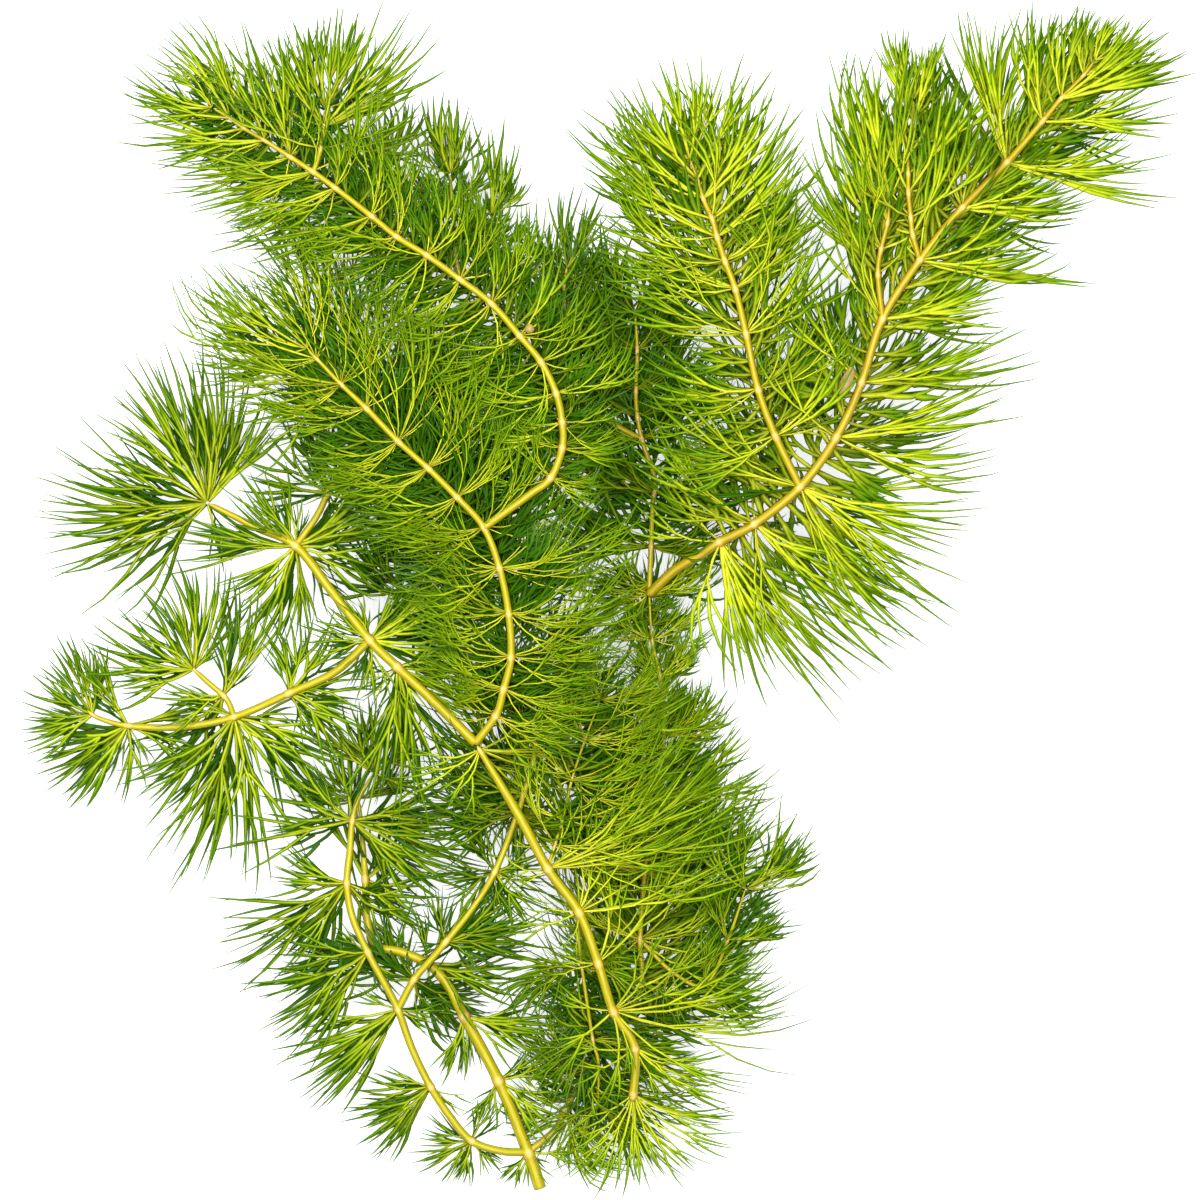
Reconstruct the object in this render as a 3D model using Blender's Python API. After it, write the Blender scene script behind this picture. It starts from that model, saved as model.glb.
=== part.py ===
"""Hornwort, a cut bunch of a submerged water plant, laid flat.

The bunch is seen from above with its cut end at the bottom: +X is right, +Y is
the way the plant grows and +Z is up, off the surface that it lies on. Every stem
and side branch is one solid, with its whorls of needle leaves grown out of it.
Routes are given in millimetres, as (x, y, height of the stem's middle).
"""
import math
import random

import bmesh
import bpy
import numpy as np
from mathutils import Matrix, Vector

MM = 0.001

STEM_SIDES = 6
NODE_BAND = 0.8           # length of the swollen ring that carries one whorl
NODE_SWELLING = 1.22      # a node is this much thicker than its stem
STEM_END = 0.7            # a stem's tip is this much thinner than the last of its taper
TOUCHING_GAP = 0.3        # gap between a branch and the stem that it grows from
IN_LINE = 0.9             # cosine above which a stem carries on from the one before it
LEAST_SINE = 0.35         # a side branch starts no further out than at this slant
LONGEST_BARE_STEP = 9.0   # a bare stem has a ring at least this often
FULL_BEND = 18.0          # degrees of turn at which rings stand closest

LEAF_THICKNESS = 0.55     # of a leaf stalk where it forks
FORK_AT = 0.42            # a forked leaf parts at this share of its length
FORK_ARCH = 0.08          # a forked leaf rises by this share of its length at the fork
TIP_RADIUS = 0.02
TINE_TURN = 0.24          # radians that the two needles of a leaf stand apart round the stem
TINE_LEAN = 0.20          # radians that one needle leans more to the stem than the other
FLATTENING = 0.72         # whorls are pressed this much flatter than round
SAME_LEAF = 38.0          # placed tips closer than this, in degrees, share one leaf
LONE_SPREAD = 0.09        # a tip placed alone is forked this share of its length each way
LOW_FACE = -0.3           # a placed leaf that starts lower than this rests its tips on the floor
NEAR_FLOOR = 2.0          # a tip that would end lower than this lies on the floor

CLEARANCE = 0.12          # free space kept between one leaf and the next
OWN_FOOT = 2.2            # a leaf may be this close to its own stem along its foot
BRANCH_ROOM = 1.0         # no leaf grows this close to the foot of a branch
TRIES = 60                # directions tried for a leaf before it is left out
STEM_STRETCH = 0.34       # length of the straight pieces that stand for a stem, in route steps

LEAF_GREEN = (0.16, 0.34, 0.01, 1.0)
DEEP_GREEN = (0.05, 0.17, 0.01, 1.0)
BUD_CREAM = (0.70, 0.42, 0.16, 1.0)

# Each stem: route in millimetres, radius at its foot and tip, and the places of its
# whorls as positions in the route. Leaf lengths and how far the leaves open from the
# stem, in degrees, are spread evenly from its first whorl to its last.
STEMS = {
    "cut_base_stem": dict(
        route=[(-10, -98.3, 4), (-12, -92.3, 5), (-17, -80.2, 7), (-22.7, -69.5, 9),
               (-25.5, -64.2, 9.6), (-28.8, -60.7, 10), (-33.3, -58.7, 10), (-37.3, -57.6, 9.6),
               (-38.9, -53.3, 9), (-39.2, -46.7, 8), (-39.8, -38.3, 7), (-40.3, -33.3, 6)],
        radius=(1.15, 0.5), whorls=[1, 2, 3, 5, 9, 11], leaf=(14, 13), opening=(80, 60)),
    "lower_left_branch": dict(
        route=[(-12, -92.3, 5), (-16.7, -92, 7), (-21.5, -90.3, 8), (-25, -86.3, 9),
               (-28.3, -81.2, 10), (-31.3, -75, 11.6), (-33.7, -68.3, 13), (-35.8, -64.2, 14),
               (-38.7, -58.8, 14.5), (-41.3, -52.8, 14.3), (-42.2, -47.3, 14), (-41.7, -41.7, 13.6),
               (-41.3, -36.8, 13), (-40.3, -33, 12.6), (-38.3, -30, 12.2), (-37.7, -28.8, 12)],
        radius=(0.75, 0.6), whorls=[2, 4, 6, 8, 10, 12, 15], leaf=(14, 14), opening=(80, 60)),
    "crossing_branch": dict(
        route=[(-33.7, -68.3, 13), (-31, -63.3, 14.5), (-28.2, -60, 15.4), (-25.7, -57, 16),
               (-21.7, -52, 16.4), (-17.5, -45.3, 16.5), (-13.7, -35.5, 16.5), (-12.7, -32.3, 16.7),
               (-11.3, -27.8, 17), (-10.3, -20.3, 18), (-10, -17, 18.5), (-11.2, -12.3, 19)],
        radius=(0.7, 0.45), whorls=[1, 3, 5, 7, 9, 10, 11], leaf=(14, 16, 15),
        opening=(75, 45)),
    "bottom_branch": dict(
        route=[(-12, -92.3, 5), (-7.5, -88.5, 5.5), (-5.7, -85, 6), (-1.8, -78.2, 7),
               (3, -72, 8), (6.8, -64, 9), (6.7, -56.7, 10), (7.5, -45.5, 11),
               (9.2, -33.3, 12), (10.7, -22.5, 13), (10, -12.8, 13), (8.7, -6.7, 12.5),
               (8.2, 1, 12)],
        radius=(0.7, 0.5), whorls=[2, 4, 5, 6.1, 7, 7.5, 8, 8.5, 9, 9.6, 10, 10.6],
        leaf=(17, 20, 24, 25, 21, 15), opening=(80, 75, 60, 50)),
    "bush_twig_left": dict(
        route=[(-8.7, -44.7, 23), (-7.5, -40.8, 22), (-6.2, -36.5, 21), (-4.7, -30, 20),
               (-2.5, -23.3, 20), (0, -16.7, 21)],
        radius=(0.4, 0.3), whorls=[1.6, 2.6, 3.6, 4.9], leaf=(24, 24, 18), opening=(70, 45)),
    "bush_twig_right": dict(
        route=[(6.7, -56.7, 10), (12, -62, 11), (17.5, -64.2, 13), (21.3, -56.7, 15),
               (24.2, -48.3, 17)],
        radius=(0.45, 0.35), whorls=[1, 2, 2.6, 3.3, 3.95], leaf=(16, 18, 16), opening=(80, 40)),
    "lower_middle_twig": dict(
        route=[(-3.5, -52, 22), (-3.7, -54.3, 20.5), (-3, -61.2, 17), (-1.2, -73.3, 13),
               (-0.3, -77, 12), (-0.3, -84.2, 10)],
        radius=(0.4, 0.3), whorls=[2, 3, 5], leaf=(15, 15), opening=(70, 40)),
    "main_stem_lower": dict(
        route=[(5.5, -83.3, 14), (5.8, -74.7, 17), (2.2, -68.5, 19), (-0.3, -60.5, 21),
               (-3.5, -52, 22), (-8.7, -44.7, 23), (-13.7, -35.5, 24), (-20.7, -23.8, 25)],
        radius=(0.85, 0.95), whorls=[0.1, 1, 2, 3, 4, 5, 6.9], leaf=(18, 24, 27),
        opening=(80, 78)),
    "main_stem_upper": dict(
        route=[(-20.7, -23.8, 25), (-27, -17.5, 25), (-33.7, -11.2, 24), (-38.3, -6.7, 23.5),
               (-44.5, 1.2, 21), (-50.7, 9, 18), (-57.5, 12.2, 15), (-65.5, 16.2, 12)],
        radius=(0.95, 0.85), whorls=[2, 3, 5, 7], leaf=(17, 24), opening=(80, 40)),
    "centre_branch": dict(
        route=[(-20.7, -23.8, 25), (-17.3, -19.2, 27), (-16, -14.8, 28), (-14.8, -9.5, 29),
               (-15.2, -2.2, 30), (-16.7, 5.3, 31), (-19.3, 12, 31), (-23.7, 17, 31),
               (-28.5, 21.8, 30), (-33.5, 26.3, 29), (-38.8, 31.8, 28), (-43, 35.8, 27),
               (-47, 40, 25.5), (-48.7, 41.7, 25)],
        radius=(0.8, 0.5), whorls=[2, 3, 3.6, 4.3, 5, 5.6, 6.3, 7, 7.6, 8.3, 9, 9.6, 10.3, 11, 11.7,
                                    12.6],
        leaf=(17, 20, 21, 21, 21, 17), opening=(75, 65, 55, 40)),
    "top_left_branch": dict(
        route=[(-19.3, 12, 31), (-11.7, 17.5, 31), (-8.2, 20.3, 31), (-6.3, 25.2, 31),
               (-6.3, 29.5, 31), (-7.3, 34.3, 31), (-9.8, 39.5, 30.5), (-13.3, 43.8, 30.3),
               (-18, 49.2, 30), (-23.2, 53.2, 29.5), (-28.7, 57.2, 29), (-33.7, 60.3, 28),
               (-38, 63.8, 26.5), (-44, 68.5, 24.5), (-47.7, 71.2, 23), (-51.5, 73.7, 21),
               (-55.8, 76.5, 19), (-59.2, 78.5, 17), (-61.7, 80.3, 16), (-64.5, 82, 15)],
        radius=(0.75, 0.45), whorls=[3, 4, 5, 6, 7, 8, 8.7, 9.5, 10.3, 11.1, 12, 12.7, 13.5, 14.5,
                                     15.4, 16.3, 17.3, 18.6],
        leaf=(14, 16, 18, 18, 18, 17, 16), opening=(75, 60, 50, 35)),
    "top_left_twig": dict(
        route=[(-47.7, 71.2, 23), (-46.5, 75, 22), (-46, 78.8, 20), (-45.8, 81.7, 18)],
        radius=(0.5, 0.4), whorls=[1.1, 1.9, 2.7], leaf=(16, 17, 16), opening=(60, 50, 30)),
    "right_outer_twig": dict(
        route=[(53.2, 56.5, 24), (52, 60.8, 25), (51.7, 63.5, 25), (51.3, 67.7, 25),
               (51.3, 70.7, 23.5), (51.2, 75.3, 21.5), (52.2, 79.7, 19.5), (52.2, 83.3, 18)],
        radius=(0.55, 0.4), whorls=[1.2, 2.4, 3.4, 4.4, 5.4, 6.6], leaf=(19, 21, 20, 13),
        opening=(55, 45, 28)),
    "right_inner_twig": dict(
        route=[(47, 46.7, 25), (46.2, 54.2, 26.5), (46.7, 58.2, 26.5), (47.8, 62.7, 26),
               (48.2, 66.8, 25)],
        radius=(0.5, 0.4), whorls=[0.8, 1.8, 2.8, 3.8], leaf=(18, 19, 17), opening=(55, 32)),
    "right_branch": dict(
        route=[(8.2, 1, 12), (12.5, 5, 15), (16.7, 7.5, 18), (20, 9.7, 20),
               (25.8, 12.7, 22), (33.3, 18.8, 24), (39.3, 27, 25), (43.5, 36.2, 25),
               (47, 46.7, 25), (53.2, 56.5, 24), (60.2, 65.2, 22), (67.7, 72.8, 19.5),
               (73.7, 79.7, 17.5), (76.8, 83.5, 16.5), (80.6, 87.4, 15.3), (82.4, 89.8, 15)],
        radius=(0.9, 0.6), whorls=[3, 3.7, 4.4, 5, 5.6, 6.2, 7, 7.7, 8.4, 9, 9.7, 10.4, 11, 11.6,
                                   12.4, 13.3, 14.6],
        leaf=(24, 28, 32, 32, 30, 29, 27, 25, 23, 22, 21, 17, 10),
        opening=(105, 98, 88, 76, 68, 62, 56, 52, 46, 38, 30)),
    "right_inner_branch": dict(
        route=[(33.3, 18.8, 24), (29.2, 27.2, 25.5), (26.3, 35, 26), (24.3, 44.2, 26),
               (22.5, 51.7, 26), (20.8, 56.3, 25.5), (19.5, 60.3, 25), (18.7, 63.3, 24),
               (17.2, 66.7, 22.5), (16.2, 70, 21), (15, 73.3, 19)],
        radius=(0.75, 0.45), whorls=[1, 1.6, 2.3, 3, 3.6, 4.3, 5.1, 6, 7, 8, 9, 9.8],
        leaf=(25, 26, 27, 27, 26, 22, 18), opening=(75, 68, 58, 48, 32)),
    "left_branch": dict(
        route=[(-38.3, -6.7, 23.5), (-44.2, -12, 19.5), (-51.7, -15.5, 17), (-61, -19.5, 13.5),
               (-70, -21.2, 11), (-78.8, -21, 9), (-83.7, -19.7, 8.2), (-85.8, -18.3, 8)],
        radius=(0.8, 0.6), whorls=[2, 3, 5, 6.4], leaf=(15, 13), opening=(80, 40)),
    "left_twig": dict(
        route=[(-61, -19.5, 13.5), (-62.3, -16.5, 14), (-65.3, -13.8, 13), (-68.2, -11.2, 11.5)],
        radius=(0.6, 0.5), whorls=[1.2, 2.85], leaf=(17, 17), opening=(60, 45)),
    "left_crossing_twig": dict(
        route=[(-50.7, 9, 18), (-47.3, 13.8, 17), (-45.3, 17.8, 16), (-42.5, 22.5, 15.4),
               (-38.8, 28, 15), (-35, 29.6, 15.2), (-31, 29.6, 16.6), (-28.3, 30.8, 18),
               (-27.3, 33.8, 20), (-25.5, 38.7, 22)],
        radius=(0.6, 0.4), whorls=[2, 3, 4.4, 6, 7, 8, 8.8], leaf=(15, 15), opening=(80, 40)),
    "middle_branch": dict(
        route=[(8.2, 1, 12), (8.5, 8.8, 12), (8.8, 16.2, 12), (9.2, 20, 12),
               (7, 26.7, 12), (6, 33.3, 12.5), (6.2, 41.7, 13), (5.8, 48.7, 13.5)],
        radius=(0.45, 0.35), whorls=[1, 2.4, 4, 4.6, 5.2, 6, 6.85], leaf=(16, 16, 14),
        opening=(75, 40)),
    "middle_twig": dict(
        route=[(7, 26.7, 12), (2.5, 29.2, 11), (-1.7, 31.7, 11), (-4, 38.3, 12),
               (-5.3, 45, 13), (-6, 51.7, 14), (-5.5, 55.5, 15)],
        radius=(0.5, 0.45), whorls=[2, 3, 4, 4.6, 5.2, 5.9], leaf=(15, 14, 13), opening=(75, 35)),
    "top_hidden_twig_middle": dict(
        route=[(-23.2, 53.2, 29.5), (-24, 57, 23), (-24.2, 60.8, 17.5), (-24.6, 66, 13),
               (-25, 71, 10.5)],
        radius=(0.45, 0.35), whorls=[1.6, 2.4, 3.1, 3.9], leaf=(15, 16, 15), opening=(65, 32)),
    "top_hidden_twig_left": dict(
        route=[(-33.7, 60.3, 28), (-34.5, 63, 21.5), (-35.3, 66.7, 15.5), (-36.2, 72.5, 10.5)],
        radius=(0.45, 0.35), whorls=[1.6, 2.3, 2.9], leaf=(14, 15, 14), opening=(60, 32)),
    "top_hidden_twig_right": dict(
        route=[(-18, 49.2, 30), (-17.5, 53, 23), (-17.5, 57.5, 17), (-18, 64.2, 12)],
        radius=(0.45, 0.35), whorls=[1.6, 2.3, 2.9], leaf=(14, 14), opening=(60, 36)),
    "under_branch": dict(
        route=[(-38.3, -6.7, 23.5), (-33.6, -1.6, 16), (-28.5, 6, 11), (-25, 15, 10),
               (-21.5, 24, 10), (-19.5, 33, 10.5)],
        radius=(0.5, 0.4), whorls=[2, 3, 4, 4.9], leaf=(16, 15), opening=(80, 45)),
}

# Whorls whose leaves stand apart, so that their tips can be placed one by one:
# stem, position in its route, and the tips' (x, y) in millimetres.
OPEN_WHORLS = {
    ("cut_base_stem", 1): [(-1.7, -92), (-8, -98.5), (-16.7, -98.3), (-13.5, -99)],
    ("cut_base_stem", 2): [(-22.5, -87.5), (-20.5, -89), (-1.7, -73.3), (-5, -75.5),
                           (-4.2, -87.5), (-7, -90), (-15, -88.3)],
    ("cut_base_stem", 3): [(-28, -80.8), (-25.5, -81), (-5, -73.3), (-8, -70.5),
                           (-21.7, -79.2), (-13.3, -76.7)],
    ("cut_base_stem", 5): [(-10, -61.7), (-12, -58.5), (-16.7, -68.3), (-32.5, -49.5),
                           (-24, -50)],
    ("cut_base_stem", 9): [(-28, -38), (-31, -36), (-27.3, -49), (-29.5, -53)],
    ("lower_left_branch", 2): [(-29.7, -87), (-31.5, -90.5), (-32.2, -94.2), (-27.3, -97.8),
                               (-23.7, -98.6), (-16.7, -97.5), (-18.3, -83.3)],
    ("lower_left_branch", 4): [(-40.8, -80.5), (-42.8, -84), (-42.5, -87.5), (-41.7, -91.7),
                               (-37.7, -94.5), (-38, -76), (-20.8, -85)],
    ("lower_left_branch", 6): [(-47.2, -71.4), (-54.7, -78), (-52, -81.5), (-50.3, -83.8),
                               (-46.3, -86.3), (-26.7, -71.7), (-42, -64.6)],
    ("lower_left_branch", 8): [(-53.3, -57.6), (-57, -61), (-58.3, -67.2), (-58, -70.2),
                               (-57, -73.3), (-51.7, -77.5), (-32.5, -66)],
    ("lower_left_branch", 10): [(-54.2, -41.3), (-57.5, -45.7), (-65.8, -57.5), (-66.4, -60),
                                (-65.3, -64.2), (-56.3, -65), (-28.6, -60), (-27, -50.8)],
    ("lower_left_branch", 12): [(-65.8, -41.7), (-57.5, -33.3), (-58.3, -21.9), (-42.5, -22),
                                (-20, -46.7), (-25, -43.5), (-26.7, -33.3)],
    ("lower_left_branch", 15): [(-51.2, -16.2), (-40.8, -14.6), (-34.4, -15.5),
                                (-28.3, -22.5), (-26.7, -31.7)],
    ("crossing_branch", 3): [(-13.3, -55), (-16.7, -60), (-28.3, -46)],
    ("crossing_branch", 5): [(-33, -41.7), (-24, -34.5), (-19.5, -34), (-6.7, -50),
                             (-10, -56), (-29, -48)],
    ("left_branch", 2): [(-55, -5.4), (-50, -4), (-40, -21.2), (-41.3, -15), (-47, -24)],
    ("left_branch", 3): [(-80.8, -31.2), (-76.7, -39.2), (-72.5, -48.3), (-70, -48),
                         (-64.2, -49.4), (-57, -46.7), (-43.8, -34), (-43, -27.6)],
    ("left_branch", 5): [(-95.8, -29.3), (-93, -33), (-90, -35.2), (-88, -33.8),
                         (-79.2, -34), (-67, -27.7), (-64, -16.5), (-88, -6.6)],
    ("left_branch", 6.4): [(-95.3, -12.7), (-93, -8.6), (-90.3, -5.6), (-85, -7.5),
                           (-97.4, -18.8), (-97.8, -21.9), (-96, -25.2)],
    ("left_twig", 1.2): [(-58.3, 1.7), (-52.8, 5.8), (-73.3, -15.2), (-76.7, -18.3)],
    ("left_twig", 2.85): [(-85, -2.8), (-87.5, -6.7), (-84.5, -11), (-82.5, -15.3),
                          (-63, 6.7), (-67, 7), (-75.5, 4.5), (-79, -1.2)],
    ("main_stem_upper", 7): [(-95.8, 16.4), (-97, 10.8), (-93, 3.3), (-85.8, 1.7),
                             (-90.7, 20.6), (-90, 26.7), (-85, 35.3), (-81.3, 39.2),
                             (-72.3, 43.9), (-68.7, 42.5), (-61.7, 40.8), (-52.5, 31)],
    ("main_stem_upper", 5): [(-73.8, 10), (-75, 7.2), (-64.2, -0.8), (-59, -3.3),
                             (-33, 15.8), (-33, 12.5), (-61.7, 23.3), (-52, 28)],
    ("main_stem_upper", 3): [(-25, -5.8), (-25.5, -9.2), (-26, 4), (-31.5, 6.7),
                             (-51, 6), (-52.5, -1), (-36.5, -19)],
    ("left_crossing_twig", 2): [(-60, 20.8), (-57.5, 29), (-49.5, 32.5), (-32, 15)],
    ("right_branch", 11): [(96, 66.7), (97, 72.7), (58.8, 99.3), (61, 98), (65, 99.6), (69.7, 97),
                           (83, 66.7), (81.8, 63.8)],
    ("right_branch", 13.3): [(99.2, 89.3), (98.4, 92), (95.6, 94), (91, 97.5), (82.5, 99.5),
                             (79, 99), (93, 78), (95, 81)],
    ("main_stem_lower", 0.1): [(25.8, -87), (24.9, -91.4), (24.2, -94.7), (16.7, -96.6),
                               (11, -98.5), (6.7, -99.6), (-1.7, -99.4), (-7, -98.2),
                               (-9, -94.5), (20, -80.5)],
    ("main_stem_lower", 1): [(23.3, -84.2), (20, -89), (16.7, -91.5), (14, -80)],
    ("main_stem_lower", 2): [(36.2, -66.4), (33.6, -72.5), (26.7, -81.2), (31, -57),
                             (-0.5, -88), (-3.5, -86), (-11, -76), (22, -60)],
}

# Small round growths: middle in millimetres, radii, and turn about Z in degrees.
BUDS = {
    "seed_bud": dict(at=(41.0, 36.3, 25.4), radii=(1.0, 2.7, 1.0), turn=-23),
    "shoot_bud": dict(at=(-11.7, 45.1, 30.6), radii=(0.8, 0.8, 0.75), turn=0),
}

# Stems that lie deep in the bunch carry the darker leaves.
DEEP_STEMS = {"bottom_branch", "middle_branch", "middle_twig", "under_branch",
              "top_hidden_twig_middle", "top_hidden_twig_left", "top_hidden_twig_right",
              "cut_base_stem", "bush_twig_right", "lower_middle_twig"}


def clear_scene():
    """Remove whatever the file opened with."""
    for thing in list(bpy.data.objects):
        bpy.data.objects.remove(thing, do_unlink=True)


def smooth_point(route, place):
    """Point of the Catmull-Rom curve through a route, place counted in its points."""
    last = len(route) - 1
    i = min(int(place), last - 1)
    u = place - i
    before = route[i - 1] if i > 0 else 2 * route[0] - route[1]
    after = route[i + 2] if i + 2 <= last else 2 * route[last] - route[last - 1]
    a, b = route[i], route[i + 1]
    return 0.5 * (2 * a + (b - before) * u + (2 * before - 5 * a + 4 * b - after) * u * u
                  + (3 * a - before - 3 * b + after) * u ** 3)


def direction_at(route, place):
    """Unit direction of growth at a place in a route."""
    last = len(route) - 1
    step = smooth_point(route, min(place + 0.05, last)) - smooth_point(route, max(place - 0.05, 0))
    return step / np.linalg.norm(step)


def side_and_top(along):
    """The two directions across a stem: level, to its right, and upwards."""
    side = np.cross(along, (0.0, 0.0, 1.0))
    side /= np.linalg.norm(side)
    return side, np.cross(side, along)


def radius_at(stem, place):
    """Stem radius, tapering evenly from foot to tip."""
    foot, tip = stem["radius"]
    return foot + (tip - foot) * place / (len(stem["route"]) - 1)


def along_values(values, share):
    """Read a list of evenly spaced values at a share of the way along it."""
    return float(np.interp(share, np.linspace(0, 1, len(values)), values))


def place_after(route, start, distance):
    """Place reached after going a distance along a route."""
    place = start
    here = smooth_point(route, place)
    last = len(route) - 1
    while distance > 0 and place < last:
        place += 0.01
        there = smooth_point(route, min(place, last))
        distance -= np.linalg.norm(there - here)
        here = there
    return min(place, last)


def carrier_of(name, stem):
    """The stem that another grows out of, and where; None for the foot of the bunch."""
    foot = stem["route"][0]
    for other, carrier in STEMS.items():
        if other == name:
            continue
        gaps = np.linalg.norm(carrier["route"] - foot, axis=1)
        at = int(np.argmin(gaps))
        shared_foot = at == 0 and other > name
        if gaps[at] < 0.01 and not shared_foot:
            return carrier, at
    return None


def clear_start(name, stem):
    """Place in its route where a stem starts, and whether it is a side branch.

    A side branch starts as far out as its carrier is thick, more where it leaves at a
    slant. A stem that carries on from another starts just past that one's end.
    """
    found = carrier_of(name, stem)
    if found is None:
        return 0.0, False
    carrier, at = found
    cosine = abs(float(direction_at(carrier["route"], float(at)) @ direction_at(stem["route"], 0.3)))
    if cosine > IN_LINE:
        return place_after(stem["route"], 0.0, NODE_BAND / 2 + TOUCHING_GAP), False
    sine = max(math.sqrt(1 - cosine * cosine), LEAST_SINE)
    thick = radius_at(carrier, at) * NODE_SWELLING
    reach = (thick + TOUCHING_GAP + stem["radius"][0] * cosine) / sine
    return place_after(stem["route"], 0.0, reach), True


def closest(start, end, starts, ends):
    """Shortest gaps between one straight line and many, and the shares along them."""
    u = end - start
    v = ends - starts
    w = start - starts
    a = float(u @ u)
    b = v @ u
    c = (v * v).sum(axis=1)
    d = w @ u
    e = (v * w).sum(axis=1)
    spread = np.maximum(a * c - b * b, 1e-9)
    s = np.clip((b * e - c * d) / spread, 0, 1)
    t = np.clip((b * s + e) / c, 0, 1)
    s = np.clip((b * t - d) / a, 0, 1)
    gap = np.linalg.norm(w + s[:, None] * u - t[:, None] * v, axis=1)
    return gap, s, t


class Thicket:
    """Every straight stretch of stem and leaf placed so far, to keep new leaves clear."""

    def __init__(self):
        self.rows = []
        self.table = None

    def add(self, line, owner):
        """Keep one stretch: its ends and the radius at each, and whose it is."""
        start, end, thick_start, thick_end = line
        self.rows.append((*start, *end, thick_start, thick_end, owner))
        self.table = None

    def room(self, line, owner):
        """Least free space around a stretch; its own stem counts only away from its foot."""
        start, end, thick_start, thick_end = line
        if self.table is None:
            self.table = np.array(self.rows)
        rows = self.table
        gap, s, t = closest(start, end, rows[:, 0:3], rows[:, 3:6])
        free = gap - (thick_start + (thick_end - thick_start) * s)
        free -= rows[:, 6] + (rows[:, 7] - rows[:, 6]) * t
        own_foot = (rows[:, 8] == owner) & (s * np.linalg.norm(end - start) < OWN_FOOT)
        free[own_foot] = np.inf
        return float(free.min())


def bend_share(route, i):
    """How long a straight step may be at a route point: short where the stem bends."""
    before = direction_at(route, max(i - 0.5, 0))
    after = direction_at(route, min(i + 0.5, len(route) - 1))
    turn = math.degrees(math.acos(max(-1.0, min(1.0, float(before @ after)))))
    return max(0.25, 1.0 - turn / FULL_BEND)


def bare_rings(route, low, high):
    """Route points between two places that a bare stretch of stem needs as rings."""
    rings = []
    reached = smooth_point(route, low)
    for i in range(1, len(route) - 1):
        if not low + 0.25 < i < high - 0.25:
            continue
        if np.linalg.norm(reached - route[i]) > LONGEST_BARE_STEP * bend_share(route, i):
            rings.append((float(i), 1.0, False))
            reached = route[i]
    return rings


def stem_rings(stem, start):
    """Rings along a stem as (place, thickness, carries a whorl up to the next ring)."""
    route = stem["route"]
    last = len(route) - 1
    wanted = []
    for whorl in stem["whorls"]:
        low = last - place_after(route[::-1], last - whorl, NODE_BAND / 2)
        wanted.append((max(low, start + 0.02), NODE_SWELLING, True))
        wanted.append((place_after(route, whorl, NODE_BAND / 2), NODE_SWELLING, False))
    wanted.append((float(last), STEM_END, False))
    rings = [(start, 1.0, False)]
    for ring in wanted:
        before = rings[-1]
        if ring[0] - before[0] < 0.015:
            continue
        if not before[2]:
            rings += bare_rings(route, before[0], ring[0])
        rings.append(ring)
    return rings


def ring_points(stem, place, thickness):
    """The corners of one six-sided ring of a stem."""
    middle = smooth_point(stem["route"], place)
    side, top = side_and_top(direction_at(stem["route"], place))
    radius = radius_at(stem, place) * thickness
    angles = [2 * math.pi * (k + 0.5) / STEM_SIDES for k in range(STEM_SIDES)]
    return [middle + radius * (math.cos(a) * side - math.sin(a) * top) for a in angles]


def corner_turn(vert):
    """How far round the tube's axis a corner lies, from 0 to a full turn."""
    return (math.atan2(vert.co.y, vert.co.x) + 0.01) % (2 * math.pi)


def move_ring(corners, stem, ring):
    """Set the corners of a tube's end on one ring of the stem."""
    for vert, point in zip(corners, ring_points(stem, ring[0], ring[1])):
        vert.co = point


def grow_stem(stem, start):
    """Push one six-sided tube along the route; return its mesh and its whorl faces."""
    bm = bmesh.new()
    bmesh.ops.create_cone(bm, cap_ends=True, segments=STEM_SIDES, radius1=1, radius2=1, depth=1)
    rings = stem_rings(stem, start)
    low = sorted([v for v in bm.verts if v.co.z < 0], key=corner_turn)
    high = sorted([v for v in bm.verts if v.co.z > 0], key=corner_turn)
    cap = next(f for f in bm.faces if set(f.verts) == set(high))
    move_ring(low, stem, rings[0])
    move_ring(high, stem, rings[1])
    bands = []
    for ring, after in zip(rings[1:], rings[2:]):
        cap = bmesh.ops.extrude_discrete_faces(bm, faces=[cap])["faces"][0]
        fresh = list(cap.verts)
        old, high = high, []
        for vert in old:
            twin = min(fresh, key=lambda v: (v.co - vert.co).length_squared)
            fresh.remove(twin)
            high.append(twin)
        move_ring(high, stem, after)
        if ring[2]:
            pairs = [(k, (k + 1) % STEM_SIDES) for k in range(STEM_SIDES)]
            bands.append([bm.faces.get((old[k], old[n], high[n], high[k])) for k, n in pairs])
    return bm, bands


def leaf_axes(leaf, along):
    """Two directions across a leaf, the second one leaning along its stem."""
    leaf = leaf / np.linalg.norm(leaf)
    across = along - (along @ leaf) * leaf
    across /= np.linalg.norm(across)
    return np.cross(leaf, across), across


def split_and_point(bm, face, tips):
    """Part a four-sided face in two and draw each half out to a tip.

    The face is cut along the diagonal that parts it most nearly the way the tips lie.
    """
    corners = list(face.verts)
    apart = (tips[0] - tips[1]).normalized()
    best = None
    for a, b, c, d in ((0, 1, 2, 3), (1, 2, 3, 0)):
        step = ((corners[b].co - corners[d].co) / 3).normalized()
        match = step.dot(apart)
        if best is None or abs(match) > abs(best[0]):
            best = (match, corners[a], corners[b], corners[c])
    match, a, b, c = best
    bmesh.utils.face_split(face, a, c)
    halves = [f for f in a.link_faces if c in f.verts and len(f.verts) == 3]
    halves.sort(key=lambda f: b not in f.verts)
    for half, tip in zip(halves, tips if match > 0 else tips[::-1]):
        bmesh.ops.poke(bm, faces=[half])["verts"][0].co = tip


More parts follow.
